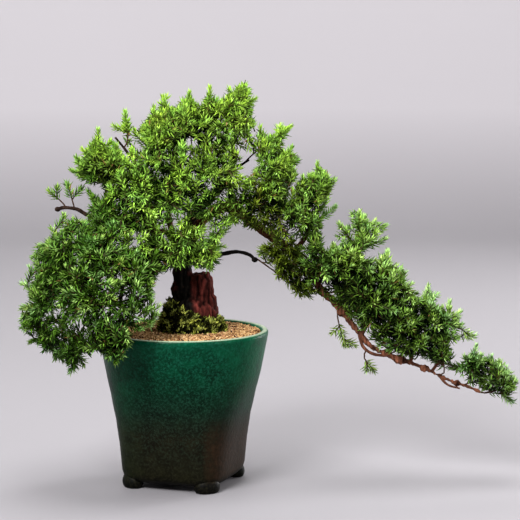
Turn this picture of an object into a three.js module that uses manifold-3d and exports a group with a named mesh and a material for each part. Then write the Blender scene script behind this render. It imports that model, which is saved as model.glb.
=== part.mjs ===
// A Japanese juniper bonsai with its glazed pot, in millimetres, +Z up.
// The tree was measured from the front. Its tables give X and Z in the plane of the trunk, as seen
// from the eye point, and the depth behind that plane, so that seenFromFront places each point.
import * as THREE from 'three';
import { mergeVertices } from 'three/addons/utils/BufferGeometryUtils.js';
import Module from 'manifold-3d';

// Driving dimensions of the pot
const RIM_DIAMETER = 150;
const POT_HEIGHT = 137;
const WALL = 6;
const UNDERSIDE = 6.7;
const FLOOR_TOP = 15;
const DRAIN_DIAMETER = 16;
const POT_TURN = THREE.MathUtils.degToRad(-18.9);
const POT_SIDES = 24;
const FOOT = { fromAxis: 49.3, radial: 9.5, tangential: 12.8, sides: 8 };

// Outside of the pot: height, half size across the flats, and the exponent of the rounded square,
// which is near 4.4 at the foot and 2, a circle, at the rim
const POT_LEVELS = [
  [UNDERSIDE, 43.4, 4.4],
  [9.6, 46.4, 4.4],
  [15, 47.9, 4.4],
  [38, 50.7, 3.8],
  [60, 54.9, 3.2],
  [82, 61.6, 2.5],
  [100, 67.9, 2.1],
  [133, RIM_DIAMETER / 2 - 0.1, 2],
];
// The rounded lip: height and distance in from the rim, up the outside and up the inside
const LIP_OUTSIDE = [[136.2, -0.5], [POT_HEIGHT, -2]];
const LIP_INSIDE = [[135.2, -WALL], [POT_HEIGHT + 0.1, -4]];
const CAVITY_HEIGHTS = [FLOOR_TOP, 60, 100];
const CAVITY_TOP = 130;

// Soil, moss and the drain mesh
const GAP = 0.3;
const SOIL_EDGE = 135;
const SOIL_FLAT = 136;
const SOIL_RINGS = 4;
const GRAIN_HEIGHT = 1.5;
const MOSS = { centre: [7.5, -2], halfWidth: 29, halfDepth: 26, sectors: 14, tuft: 3.4 };
const MOSS_FLAT_MARGIN = 1.5;
const DRAIN_MESH = { side: 24, thickness: 1.5, bars: 3, bar: 2 };

// The trunk stands in a tapered hole in the soil
const TRUNK_X = 10.5;
const ROOT_BOTTOM = 100;
const ROOT_RADIUS = 13;
const BASE_RADIUS = 19.5;
const BASE_TOP = 157;
const TRUNK_SIDES = 12;
const LIMB_SWELL = 1.06;

// Foliage: three-sided shoots with a whorl of three needles at every step
const NEEDLE_LENGTH = 5.8;
const NEEDLE_ANGLE = THREE.MathUtils.degToRad(46);
const TIP_ANGLE = THREE.MathUtils.degToRad(24);
const NEEDLE_RADIUS = 0.55;
const WHORL_STEP = 3.9;
const SIDE_WHORLS = 3;
const MAIN_WHORLS = 4;
const STEM_RADIUS = 0.85;
const JOINT_LENGTH = 2.6;
const JOINT_SPACING = 5;
const LONGEST_STRETCH = 14;
const CLEARANCE = 0.35;

// The eye point that the tables of the tree are measured from
const EYE = new THREE.Vector3(67.6, -1534, 363.5);

// Trunk and limbs. Each has the points x, z, depth along it and its radius at both ends
const LIMBS = [
  { name: 'trunk', radii: [10.6, 7.2], points: [[1.5, 150, 0], [0, 172, 0], [-1, 188, 1], [-2, 203, 2]] },
  { name: 'stub', radii: [12, 7.9], points: [[18.5, 150, 0], [17, 168, -1], [15.2, 186.5, -2]] },
  {
    name: 'leader',
    radii: [6.4, 1.5],
    points: [
      [-2, 196, 2], [3, 226, -1], [12, 240, -3], [21, 251, -3], [33, 262, -2],
      [41, 272, -1], [44, 286, 0], [44, 300, 0], [45, 312, 0],
    ],
  },
  {
    name: 'left_limb',
    radii: [5.6, 1.3],
    points: [
      [-2, 194, 1], [-14, 208, -2], [-24, 220, -4], [-28, 240, -5],
      [-33, 258, -5], [-38, 275, -5], [-44, 289, -5], [-46.5, 297, -5],
    ],
  },
  { name: 'spur', radii: [1.7, 0.9], points: [[-40, 281, -5], [-50, 295, -6], [-59, 306, -8]] },
  {
    name: 'upper_left_branch',
    radii: [3, 1.3],
    points: [[-28.5, 242, -5], [-42, 246, -10], [-55, 253, -14], [-65, 263, -16]],
  },
  {
    name: 'knob_twig',
    radii: [2.4, 1.6],
    points: [
      [-25, 223, -4], [-48, 228, -12], [-68, 232, -14], [-84, 238, -13],
      [-93, 243, -12], [-104, 244.5, -12], [-110, 243, -12],
    ],
  },
  { name: 'left_branch', radii: [2, 1.2], points: [[-56, 230, -13], [-74, 222, -19], [-88, 214, -23]] },
  {
    name: 'low_left_limb',
    radii: [4.8, 1.3],
    points: [
      [-3, 194, 0], [-20, 203, -12], [-46, 204, -27], [-70, 192, -37],
      [-90, 174, -40], [-101, 155, -36], [-105, 143, -33],
    ],
  },
  {
    name: 'front_left_branch',
    radii: [2.6, 1.2],
    points: [[-44, 204, -26], [-50, 190, -40], [-54, 171, -55], [-56, 156, -66]],
  },
  {
    name: 'cascade_limb',
    radii: [6, 1],
    points: [
      [-1, 196, 4], [12, 226, 9], [27, 242, 8], [44, 244, 4], [58, 234, 1], [73, 222, 0],
      [87, 213, 0], [98, 204, 0], [108, 193, 0], [121, 172, 0], [132, 162, 0], [140, 153, 0],
      [150.6, 139.5, 0], [158.6, 128.6, 0], [167.4, 120.5, 0], [187, 111, 0], [201, 106.6, 0],
      [214, 101.6, 0], [228, 94.4, 0], [239, 89.5, 0], [254, 84.6, 0], [266, 79, 0],
    ],
  },
  {
    name: 'twin_twig',
    radii: [1.7, 1.2],
    points: [[155, 133, 0], [159, 121, -3], [168, 114.5, -4], [181, 113, -1]],
  },
  { name: 'loop_twig', radii: [1.2, 0.9], points: [[226, 95.5, 0], [234, 87, -2], [245, 83.5, -2]] },
  {
    name: 'bare_branch',
    radii: [2.6, 1.5],
    points: [[2, 199, 0], [20, 202, -4], [34, 203.5, -4], [47, 205.5, -3], [58, 203, -2], [63, 198.5, -2]],
  },
  {
    name: 'crown_branch',
    radii: [3, 1.2],
    points: [[12, 240, -3], [10, 255, -3], [4, 270, -2], [-5, 284, -1], [-6, 295, 0]],
  },
  { name: 'crown_right_branch', radii: [2, 1.1], points: [[41, 273, -1], [34, 286, 1], [26, 299, 2]] },
  { name: 'upper_right_twig', radii: [1.3, 1], points: [[44, 280, 0], [51, 282, -1], [58, 286.5, -2]] },
  { name: 'inner_right_branch', radii: [2.3, 1.2], points: [[42, 244, 4], [56, 250, -5], [67, 254, -9]] },
  {
    name: 'right_branch',
    radii: [2.7, 1.3],
    points: [[97, 205, 0], [106, 216, -3], [112, 228, -3], [117, 239, -2]],
  },
  {
    name: 'far_right_branch',
    radii: [2.3, 1.1],
    points: [[110, 190, 0], [127, 189, -2], [142, 197, -2], [151, 204, -1]],
  },
  { name: 'cascade_riser', radii: [2, 1.1], points: [[157, 131, 0], [163, 142, -3], [172, 156, -3]] },
  { name: 'end_riser', radii: [1.6, 1], points: [[201, 106.6, 0], [204, 120, -2], [207.5, 132, -2]] },
  { name: 'end_twig', radii: [1.5, 1], points: [[220, 99, 0], [226, 108, -2], [229, 117, -2]] },
  {
    name: 'back_limb',
    radii: [4.2, 1.2],
    points: [[-4, 196, 4], [-10, 222, 22], [-13, 246, 30], [-8, 270, 30], [4, 290, 25]],
  },
  { name: 'back_left_branch', radii: [2.6, 1.2], points: [[-10, 221, 21], [-30, 226, 28], [-52, 224, 29]] },
  { name: 'back_upper_branch', radii: [2, 1.1], points: [[-28, 226, 28], [-44, 246, 28], [-56, 263, 24]] },
  {
    name: 'back_low_branch',
    radii: [3, 1.2],
    points: [[-6, 195, 4], [-28, 202, 9], [-54, 194, 12], [-76, 181, 13]],
  },
  { name: 'back_right_branch', radii: [2.4, 1.2], points: [[38, 245, 5], [56, 249, 17], [71, 247, 22]] },
];

// Sprays by region. Each has the place of its root and of the tips of its shoots, x, z, depth.
// The first tip ends the main stem
const SPRAYS = {
  crown: [
    { root: [-48, 305, -5], tips: [[-50, 328, -6], [-60, 316, -2]] },
    {
      root: [-70, 272, -17],
      tips: [
        [-74, 312, -20], [-63, 303, -28], [-88, 296, -12], [-97, 277, -16], [-93, 288, -28],
        [-76, 290, 6],
      ],
    },
    { root: [-53, 266, -14], tips: [[-58, 299, -20], [-66, 284, -38], [-58, 282, 6]] },
    {
      root: [-30, 288, -2],
      tips: [
        [-25, 332, -10], [-42, 312, 8], [-13, 316, -28], [-22, 302, -40],
      ],
    },
    {
      root: [-5, 303, 0],
      tips: [
        [-17, 341, 4], [6, 345, -4], [-18, 322, 20], [12, 330, 10], [6, 318, -32],
      ],
    },
    { root: [24, 306, 2], tips: [[24, 349, 2], [30, 339, 8], [26, 324, 22]] },
    {
      root: [46, 319, 0],
      tips: [
        [55, 356, -2], [41, 348, 4], [64, 340, 4], [34, 337, -8], [43, 332, 22], [50, 322, -28],
      ],
    },
    { root: [65, 294, -3], tips: [[94, 315, -4], [68, 315, -4], [85, 316, 6], [86, 299, 4]] },
    { root: [20, 270, -9], tips: [[20, 297, -22], [36, 288, -28], [22, 276, -44], [40, 268, -36]] },
  ],
  right: [
    {
      root: [72, 259, -11],
      tips: [
        [95, 297, -12], [101, 286, -4], [82, 284, -28], [68, 286, -16], [80, 258, -36],
      ],
    },
    {
      root: [119, 246, -2],
      tips: [
        [118, 283, -4], [126, 274, 8], [111, 272, -12], [133, 269, -2], [118, 262, -22],
      ],
    },
    {
      root: [105, 225, -9],
      tips: [
        [105, 271, -12], [134, 246, -2], [96, 260, -26], [92, 246, -28], [123, 236, -16],
        [110, 234, -34],
      ],
    },
    { root: [150, 212, -2], tips: [[137, 230, -6], [136, 219, -10]] },
    {
      root: [158, 208, -1],
      tips: [
        [160, 236, -6], [155, 240, 10], [169, 234, 2], [178, 229, 0], [178, 217, 8],
      ],
    },
    { root: [125, 186, -9], tips: [[132, 212, -12], [138, 198, -28], [115, 195, -24], [127, 202, 10]] },
    { root: [141, 174, -6], tips: [[147, 211, -6], [158, 198, -20], [155, 193, 14]] },
    {
      root: [175, 162, -3],
      tips: [
        [180, 206, -4], [188, 194, -8], [196, 187, 2], [201, 177, -6], [206, 169, 4],
        [182, 174, -24], [176, 186, 16],
      ],
    },
    { root: [160, 144, -8], tips: [[161, 173, -14], [171, 162, -26], [168, 156, 12]] },
    { root: [190, 121, -5], tips: [[190, 157, -10], [199, 146, -20], [187, 140, 14]] },
    { root: [209, 139, -2], tips: [[216, 175, -2], [224, 168, 4], [228, 156, -2], [214, 152, 14]] },
    { root: [207, 112, -5], tips: [[206, 138, -10], [197, 126, -20], [214, 120, 10]] },
    {
      root: [230, 123, -2],
      tips: [
        [235, 161, -2], [244, 152, 4], [228, 149, -12], [246, 141, -4], [258, 131, 2],
      ],
    },
    { root: [231, 99, -5], tips: [[226, 128, -11], [235, 116, -14], [218, 117, 10]] },
    { root: [253, 91, -1], tips: [[259, 122, -4], [249, 112, -12], [263, 113, 6], [255, 104, 14]] },
    {
      root: [271, 80, 0],
      tips: [
        [297, 88, -3], [273, 112, 0], [286, 103, 6], [294, 72, 2], [286, 92, -12],
      ],
    },
  ],
  under: [
    { root: [66, 198.5, -2], tips: [[112, 165, -4], [103, 167, 6], [84, 183, 6], [79, 197, -10]] },
    { root: [136, 149, 0], tips: [[142, 123, 2], [131, 133, -4], [152, 122, -2]] },
    { root: [160, 111, -3], tips: [[169, 99, 0], [162, 99, -6]] },
    { root: [91, 206, -5], tips: [[85, 188, -10], [98, 185, -14], [77, 204, -20], [91, 190, 12]] },
    { root: [60, 238, -8], tips: [[68, 254, -28], [54, 230, -28], [78, 240, -28], [64, 226, -20]] },
  ],
  centre: [
    { root: [0, 247, -10], tips: [[-6, 286, -28], [10, 264, -42], [-18, 270, -36], [-11, 252, -46]] },
    { root: [33, 250, -7], tips: [[46, 231, -20], [33, 227, -26], [54, 250, -22], [24, 242, -36]] },
    {
      root: [6, 213, -11],
      tips: [
        [25, 190, -24], [36, 210, -18], [12, 192, -38], [-6, 195, -36], [-10, 226, -44],
        [10, 226, -42],
      ],
    },
    {
      root: [-22, 207, -19],
      tips: [
        [-34, 188, -34], [-22, 190, -28], [-40, 206, -48], [-30, 218, -46],
      ],
    },
    {
      root: [-35, 252, -12],
      tips: [
        [-36, 279, -30], [-50, 262, -38], [-25, 260, -42], [-40, 246, -46],
      ],
    },
  ],
  left: [
    {
      root: [-62, 238, -18],
      tips: [
        [-76, 250, -36], [-83, 259, -18], [-72, 236, -50], [-50, 236, -48],
      ],
    },
    { root: [-106, 249, -12], tips: [[-117, 259, -11], [-110, 263, -14]] },
    { root: [-96, 247, -13], tips: [[-101, 264, -14], [-89, 262, -12]] },
    {
      root: [-94, 212, -25],
      tips: [
        [-128, 211, -32], [-116, 226, -26], [-105, 238, -32], [-96, 230, -48], [-133, 201, -24],
        [-114, 208, -54], [-116, 198, -6],
      ],
    },
    {
      root: [-107, 166, -29],
      tips: [
        [-145, 155, -28], [-135, 191, -30], [-140, 177, -26], [-120, 184, -54], [-126, 182, -6],
        [-127, 158, -58], [-144, 138, -30],
      ],
    },
    {
      root: [-110, 138, -31],
      tips: [
        [-136, 125, -34], [-124, 117, -44], [-120, 134, -58], [-114, 110, -28],
      ],
    },
    {
      root: [-88, 139, -46],
      tips: [
        [-101, 98, -48], [-89, 105, -54], [-73, 117, -68], [-98, 120, -72], [-86, 122, -82],
        [-70, 134, -82],
      ],
    },
    {
      root: [-56, 148, -71],
      tips: [
        [-60, 107, -90], [-69, 116, -92], [-49, 122, -96], [-26, 143, -80], [-22, 157, -76],
        [-37, 137, -90], [-60, 130, -106],
      ],
    },
    {
      root: [-47, 181, -50],
      tips: [
        [-28, 181, -62], [-29, 169, -70], [-40, 191, -76], [-44, 172, -86],
      ],
    },
    {
      root: [-73, 199, -43],
      tips: [
        [-72, 216, -66], [-60, 198, -76], [-86, 208, -72], [-72, 186, -84],
      ],
    },
    {
      root: [-80, 168, -50],
      tips: [
        [-78, 170, -92], [-92, 190, -72], [-97, 158, -80], [-62, 166, -92], [-78, 148, -94],
      ],
    },
  ],
  back: [
    { root: [-60, 269, 25], tips: [[-78, 292, 36], [-60, 300, 44], [-86, 270, 44], [-66, 274, 60]] },
    {
      root: [8, 295, 25],
      tips: [
        [4, 334, 36], [-24, 324, 34], [-8, 314, 56], [-34, 304, 48], [34, 334, 32], [52, 322, 38],
      ],
    },
    { root: [-10, 250, 37], tips: [[-8, 246, 72], [-28, 268, 58], [4, 276, 60], [-30, 240, 60]] },
    { root: [-59, 223, 31], tips: [[-92, 218, 44], [-64, 246, 56], [-64, 214, 70], [-78, 200, 54]] },
    { root: [-83, 177, 15], tips: [[-112, 170, 22], [-108, 194, 26], [-92, 158, 40], [-76, 178, 52]] },
    { root: [78, 247, 25], tips: [[98, 272, 34], [74, 274, 44], [104, 246, 40], [80, 242, 60]] },
    { root: [139, 177, 12], tips: [[150, 204, 30], [132, 196, 36], [164, 178, 30], [142, 168, 42]] },
    { root: [8, 212, 22], tips: [[16, 206, 58], [30, 196, 40], [-8, 198, 44], [36, 222, 42]] },
  ],
};

const COLOURS = {
  pot: { color: 0x3c6a5d, roughness: 0.35 },
  drain_mesh: { color: 0x2c2f30, roughness: 0.6 },
  soil: { color: 0xa5835f, roughness: 0.95 },
  moss: { color: 0x4a4c22, roughness: 0.95 },
  wood: { color: 0x54402f, roughness: 0.85 },
  crown: { color: 0x6d8f45, roughness: 0.7 },
  right: { color: 0x5a8140, roughness: 0.7 },
  under: { color: 0x5f7038, roughness: 0.7 },
  centre: { color: 0x648a45, roughness: 0.7 },
  left: { color: 0x52773f, roughness: 0.7 },
  back: { color: 0x486a38, roughness: 0.7 },
};

// Solids

const wasm = await Module();
wasm.setup();

function solidOf(geometry) {
  const plain = geometry.clone();
  plain.deleteAttribute('normal');
  plain.deleteAttribute('uv');
  const merged = mergeVertices(plain, 1e-4);
  return new wasm.Manifold(
    new wasm.Mesh({
      numProp: 3,
      vertProperties: Float32Array.from(merged.attributes.position.array),
      triVerts: Uint32Array.from(merged.index.array),
    }),
  );
}

function geometryOf(solid) {
  const mesh = solid.getMesh();
  const geometry = new THREE.BufferGeometry();
  geometry.setAttribute('position', new THREE.BufferAttribute(mesh.vertProperties, 3));
  geometry.setIndex(new THREE.BufferAttribute(mesh.triVerts, 1));
  return geometry;
}

function geometryFrom(points, triangles) {
  const geometry = new THREE.BufferGeometry().setFromPoints(points);
  geometry.setIndex(triangles.flat());
  return geometry;
}

function named(name, geometry, { color, roughness }) {
  const material = new THREE.MeshStandardMaterial({ color, roughness, metalness: 0 });
  const mesh = new THREE.Mesh(geometry, material);
  mesh.name = name;
  return mesh;
}

function union(geometries) {
  let whole = solidOf(geometries[0]);
  for (const geometry of geometries.slice(1)) {
    whole = whole.add(solidOf(geometry));
  }
  return whole;
}

// Triangles between two rings of equal count, facing out when the second lies further along
function band(lower, upper, sides) {
  const triangles = [];
  for (let i = 0; i < sides; i += 1) {
    const j = (i + 1) % sides;
    triangles.push([lower + i, lower + j, upper + j], [lower + i, upper + j, upper + i]);
  }
  return triangles;
}

// A closed solid through rings of points, with a centre point in each end face
function loft(rings) {
  const sides = rings[0].length;
  const points = rings.flat();
  const triangles = [];
  for (let i = 0; i + 1 < rings.length; i += 1) {
    triangles.push(...band(i * sides, (i + 1) * sides, sides));
  }
  const last = (rings.length - 1) * sides;
  const start = points.push(middle(rings[0])) - 1;
  const end = points.push(middle(rings[rings.length - 1])) - 1;
  for (let i = 0; i < sides; i += 1) {
    const j = (i + 1) % sides;
    triangles.push([start, j, i], [end, last + i, last + j]);
  }
  return geometryFrom(points, triangles);
}

function middle(points) {
  const sum = new THREE.Vector3();
  for (const point of points) {
    sum.add(point);
  }
  return sum.divideScalar(points.length);
}

// A seeded draw, so that the tree grows the same every time
function seeded(seed) {
  let state = seed;
  return function draw() {
    state = (state + 0x6d2b79f5) | 0;
    let mixed = Math.imul(state ^ (state >>> 15), 1 | state);
    mixed = (mixed + Math.imul(mixed ^ (mixed >>> 7), 61 | mixed)) ^ mixed;
    return ((mixed ^ (mixed >>> 14)) >>> 0) / 4294967296;
  };
}

function between(draw, low, high) {
  return low + (high - low) * draw();
}

function seenFromFront([x, z, depth]) {
  const inPlane = new THREE.Vector3(x, 0, z);
  const reach = 1 + depth / -EYE.y;
  return EYE.clone().lerp(inPlane, reach);
}

// Pot

// Half size and exponent of the pot's outside at a height
function potAt(height) {
  const level = Math.min(height, POT_LEVELS.at(-1)[0]);
  const upper = Math.max(1, POT_LEVELS.findIndex(([z]) => z >= level));
  const [z0, half0, power0] = POT_LEVELS[upper - 1];
  const [z1, half1, power1] = POT_LEVELS[upper];
  const part = (level - z0) / (z1 - z0);
  return { half: half0 + (half1 - half0) * part, power: power0 + (power1 - power0) * part };
}

function potRing(height, half, power) {
  const ring = [];
  for (let i = 0; i < POT_SIDES; i += 1) {
    const angle = (i / POT_SIDES) * Math.PI * 2;
    const across = Math.abs(Math.cos(angle)) ** power + Math.abs(Math.sin(angle)) ** power;
    const radius = half / across ** (1 / power);
    const turned = angle + POT_TURN;
    ring.push(new THREE.Vector3(radius * Math.cos(turned), radius * Math.sin(turned), height));
  }
  return ring;
}

// Rings that follow the cavity of the pot, kept clear of its wall by a margin
function cavityRings(margin, floor, top) {
  const rings = CAVITY_HEIGHTS.map((height) => {
    const { half, power } = potAt(height);
    return potRing(height === FLOOR_TOP ? floor : height, half - WALL - margin, power);
  });
  const { half, power } = potAt(top);
  rings.push(potRing(top, half - WALL - margin, power));
  return rings;
}

function footGeometry(index) {
  const angle = POT_TURN + Math.PI / 4 + (index * Math.PI) / 2;
  const centre = new THREE.Vector2(Math.cos(angle), Math.sin(angle)).multiplyScalar(FOOT.fromAxis);
  const swell = [[0, 0.74], [2.2, 0.96], [6, 1], [11, 0.7]];
  const rings = swell.map(([height, size]) => {
    const ring = [];
    for (let i = 0; i < FOOT.sides; i += 1) {
      const round = ((i + 0.5) / FOOT.sides) * Math.PI * 2;
      const local = new THREE.Vector2(Math.cos(round) * FOOT.radial, Math.sin(round) * FOOT.tangential);
      local.multiplyScalar(size).rotateAround(new THREE.Vector2(), angle).add(centre);
      ring.push(new THREE.Vector3(local.x, local.y, height));
    }
    return ring;
  });
  return loft(rings);
}

function potGeometry() {
  const rimRing = ([height, inset]) => potRing(height, RIM_DIAMETER / 2 + inset, 2);
  const outside = POT_LEVELS.map(([height, half, power]) => potRing(height, half, power));
  outside.push(...LIP_OUTSIDE.map(rimRing));
  const cavity = cavityRings(0, FLOOR_TOP, CAVITY_TOP);
  cavity.push(...LIP_INSIDE.map(rimRing));
  const drain = new THREE.CylinderGeometry(DRAIN_DIAMETER / 2, DRAIN_DIAMETER / 2, FLOOR_TOP * 1.5, 12);
  drain.rotateX(Math.PI / 2);
  drain.translate(0, 0, FLOOR_TOP / 2);
  const feet = [0, 1, 2, 3].map(footGeometry);
  return geometryOf(union([loft(outside), ...feet]).subtract(union([loft(cavity), drain])));
}

// Drain mesh: a small grid over the drain hole

function drainMeshGeometry() {
  const { side, thickness, bars, bar } = DRAIN_MESH;
  const height = FLOOR_TOP + GAP + thickness / 2;
  const pieces = [];
  for (let i = 0; i < bars; i += 1) {
    const place = ((side - bar) * i) / (bars - 1) - (side - bar) / 2;
    pieces.push(new THREE.BoxGeometry(side, bar, thickness).translate(0, place, height));
    pieces.push(new THREE.BoxGeometry(bar, side, thickness).translate(place, 0, height));
  }
  return geometryOf(union(pieces));
}

// Root of the trunk, and the hole that it stands in when grown by the gap

function trunkRing(height, radius, draw) {
  const ring = [];
  for (let i = 0; i < TRUNK_SIDES; i += 1) {
    const angle = (i / TRUNK_SIDES) * Math.PI * 2;
    const size = radius * (draw ? between(draw, 0.9, 1) : 1);
    ring.push(new THREE.Vector3(TRUNK_X + size * Math.cos(angle), size * Math.sin(angle), height));
  }
  return ring;
}

function rootHole(top) {
  return loft([
    trunkRing(ROOT_BOTTOM - GAP, ROOT_RADIUS + 2 * GAP),
    trunkRing(SOIL_FLAT - 8, BASE_RADIUS + 2 * GAP),
    trunkRing(top, BASE_RADIUS + 2 * GAP),
  ]);
}

// Soil: fills the cavity, level under the moss, and rough with grains out to the rim

function soilGeometry() {
  const draw = seeded(11);
  const wall = cavityRings(GAP, FLOOR_TOP + GAP, SOIL_EDGE);
  const edge = wall[wall.length - 1];
  const [mossX, mossY] = MOSS.centre;
  const grow = MOSS_FLAT_MARGIN;
  const level = edge.map((point) => {
    const angle = Math.atan2(point.y - mossY, point.x - mossX);
    return new THREE.Vector3(
      mossX + (MOSS.halfWidth + grow) * Math.cos(angle),
      mossY + (MOSS.halfDepth + grow) * Math.sin(angle),
      SOIL_FLAT,
    );
  });
  const rings = [...wall];
  for (let i = 1; i < SOIL_RINGS; i += 1) {
    const part = i / SOIL_RINGS;
    const ring = edge.map((point, side) => {
      const place = point.clone().lerp(level[side], part);
      const grain = (side + i) % 2 === 0 ? 1 : -0.6;
      place.z += between(draw, 0.3, 1) * grain * GRAIN_HEIGHT;
      return place;
    });
    rings.push(ring);
  }
  rings.push(level);
  const pocketSide = DRAIN_MESH.side + 2 * GAP;
  const pocketHeight = 2 * (DRAIN_MESH.thickness + 2 * GAP);
  const pocket = new THREE.BoxGeometry(pocketSide, pocketSide, pocketHeight);
  pocket.translate(0, 0, FLOOR_TOP);
  const filling = solidOf(loft(rings)).subtract(solidOf(rootHole(SOIL_FLAT + 10)));
  return geometryOf(filling.subtract(solidOf(pocket)));
}

// Moss: a mound round the foot of the trunk, with tufts raised from its faces

function mossGeometry() {
  const draw = seeded(23);
  const { centre, halfWidth, halfDepth, sectors, tuft } = MOSS;
  const bottom = SOIL_FLAT + GAP;
  const hole = BASE_RADIUS + 2 * GAP;
  const profile = [
    { out: 0, height: bottom },
    { out: 1, height: bottom },
    { out: 0.9, height: 142 },
    { out: 0.5, height: 150 },
    { out: 0, height: 155 },
  ];
  const points = [];
  for (const { out, height } of profile) {
    for (let i = 0; i < sectors; i += 1) {
      const angle = (i / sectors) * Math.PI * 2;
      const inner = new THREE.Vector2(TRUNK_X + hole * Math.cos(angle), hole * Math.sin(angle));
      const outer = new THREE.Vector2(
        centre[0] + halfWidth * Math.cos(angle),
        centre[1] + halfDepth * Math.sin(angle),
      );
      const place = inner.lerp(outer, out);
      const rise = out > 0 && height > bottom ? between(draw, -1.2, 1.2) : 0;
      points.push(new THREE.Vector3(place.x, place.y, height + rise));
    }
  }
  const triangles = [];
  for (let row = 0; row < profile.length; row += 1) {
    const next = (row + 1) % profile.length;
    const faces = band(row * sectors, next * sectors, sectors);
    const tufted = row > 0 && row + 1 < profile.length;
    triangles.push(...(tufted ? faces.flatMap((face) => raised(face, points, draw, tuft)) : faces));
  }
  return geometryFrom(points, triangles);
}

// Three triangles that stand up from one, with their common point over its middle
function raised(face, points, draw, height) {
  const [a, b, c] = face.map((index) => points[index]);
  const out = new THREE.Triangle(a, b, c).getNormal(new THREE.Vector3());
  out.z += 0.7;
  const top = middle([a, b, c]).addScaledVector(out.normalize(), height * between(draw, 0.5, 1));
  const apex = points.push(top) - 1;
  return [[face[0], face[1], apex], [face[1], face[2], apex], [face[2], face[0], apex]];
}

// Wood

const limbs = LIMBS.map(({ name, radii, points }) => ({
  name,
  radii,
  curve: new THREE.CatmullRomCurve3(points.map(seenFromFront), false, 'catmullrom', 0.5),
}));

// Rings round a curve, with the section carried along it so that it doesn't twist
function tubeRings(curve, steps, sides, radiusAt) {
  const rings = [];
  let side = null;
  for (let i = 0; i <= steps; i += 1) {
    const along = curve.getTangentAt(i / steps);
    side = side ?? new THREE.Vector3(0, 1, 0).cross(along).normalize();
    side.addScaledVector(along, -side.dot(along)).normalize();
    const other = along.clone().cross(side);
    const centre = curve.getPointAt(i / steps);
    const ring = [];
    for (let k = 0; k < sides; k += 1) {
      const angle = (k / sides) * Math.PI * 2;
      const radius = radiusAt(i / steps);
      const point = centre.clone().addScaledVector(side, radius * Math.cos(angle));
      ring.push(point.addScaledVector(other, radius * Math.sin(angle)));
    }
    rings.push(ring);
  }
  return rings;
}

function limbRadius({ radii }, part) {
  return radii[0] + (radii[1] - radii[0]) * part ** 0.8;
}

// The sides and the length of a step of a limb, by its radius where it starts
function limbDetail(radius) {
  if (radius > 7) {
    return { sides: 10, step: 10 };
  }
  return radius > 4 ? { sides: 6, step: 17 } : { sides: 4, step: 17 };
}

function limbGeometry(limb, draw) {
  const { sides, step } = limbDetail(limb.radii[0]);
  const steps = Math.max(2, Math.round(limb.curve.getLength() / step));
  const radiusAt = (part) => limbRadius(limb, part) * between(draw, 0.92, LIMB_SWELL);
  return loft(tubeRings(limb.curve, steps, sides, radiusAt));
}

// The limb nearest to a spray's root, and the part of its length where it is nearest
function nearestOnLimbs(place) {
  let best = { distance: Infinity };
  for (const limb of limbs) {
    const steps = Math.ceil(limb.curve.getLength() / 3);
    for (let i = 0; i <= steps; i += 1) {
      const point = limb.curve.getPointAt(i / steps);
      const distance = point.distanceTo(place);
      if (distance < best.distance) {
        best = { distance, limb, part: i / steps, length: limb.curve.getLength() };
      }
    }
  }
  return best;
}

// Where a spray leaves its limb, just clear of the bark or of the limb's end face, and the point on
// the limb's axis that it grows from
function leaving(root) {
  const nearest = nearestOnLimbs(root);
  const { limb, length } = nearest;
  const atEnd = nearest.part > 0.97;
  const part = atEnd ? 1 : Math.max(0, nearest.part - (0.5 * nearest.distance) / length);
  const axisPoint = limb.curve.getPointAt(part);
  const tangent = limb.curve.getTangentAt(part);
  const radius = limbRadius(limb, part) * LIMB_SWELL;
  const heading = root.clone().sub(axisPoint).normalize();
  const lean = heading.angleTo(tangent);
  const ahead = GAP + (STEM_RADIUS + radius) * Math.sin(lean);
  const aside = (radius + GAP + STEM_RADIUS * Math.cos(lean)) / Math.sin(lean);
  const start = axisPoint.clone().addScaledVector(heading, atEnd && lean < 1 ? ahead : aside);
  return { start, axisPoint };
}

const sprays = Object.entries(SPRAYS).flatMap(([region, list]) =>
  list.map(({ root, tips }, index) => ({
    name: `spray_${region}_${String(index + 1).padStart(2, '0')}`,
    region,
    root: seenFromFront(root),
    tips: tips.map(seenFromFront),
  })),
);

function woodGeometry() {
  const draw = seeded(37);
  const base = loft([
    trunkRing(ROOT_BOTTOM, ROOT_RADIUS),
    trunkRing(SOIL_FLAT - 8, BASE_RADIUS),
    trunkRing(BASE_TOP - 2, BASE_RADIUS),
    trunkRing(BASE_TOP + 3, BASE_RADIUS * 0.93, draw),
    trunkRing(BASE_TOP + 9, BASE_RADIUS * 0.62, draw),
  ]);
  return geometryOf(union([base, ...limbs.map((limb) => limbGeometry(limb, draw))]));
}

// What is already placed, as capsules in a grid, so that shoots and needles are bent clear of it

const CELL = 12;
const cells = new Map();

function cellKeys(a, b, reach) {
  const keys = [];
  const low = a.clone().min(b).subScalar(reach);
  const high = a.clone().max(b).addScalar(reach);
  for (let x = Math.floor(low.x / CELL); x <= Math.floor(high.x / CELL); x += 1) {
    for (let y = Math.floor(low.y / CELL); y <= Math.floor(high.y / CELL); y += 1) {
      for (let z = Math.floor(low.z / CELL); z <= Math.floor(high.z / CELL); z += 1) {
        keys.push(`${x},${y},${z}`);
      }
    }
  }
  return keys;
}

function occupy(a, b, radius, owner) {
  const capsule = { a: a.clone(), b: b.clone(), radius, owner };
  for (const key of cellKeys(a, b, radius)) {
    cells.set(key, [...(cells.get(key) ?? []), capsule]);
  }
}

function occupyCurve(curve, radiusAt, owner) {
  const steps = Math.max(1, Math.ceil(curve.getLength() / 4));
  for (let i = 0; i < steps; i += 1) {
    const radius = Math.max(radiusAt(i / steps), radiusAt((i + 1) / steps));
    occupy(curve.getPointAt(i / steps), curve.getPointAt((i + 1) / steps), radius, owner);
  }
}

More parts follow.
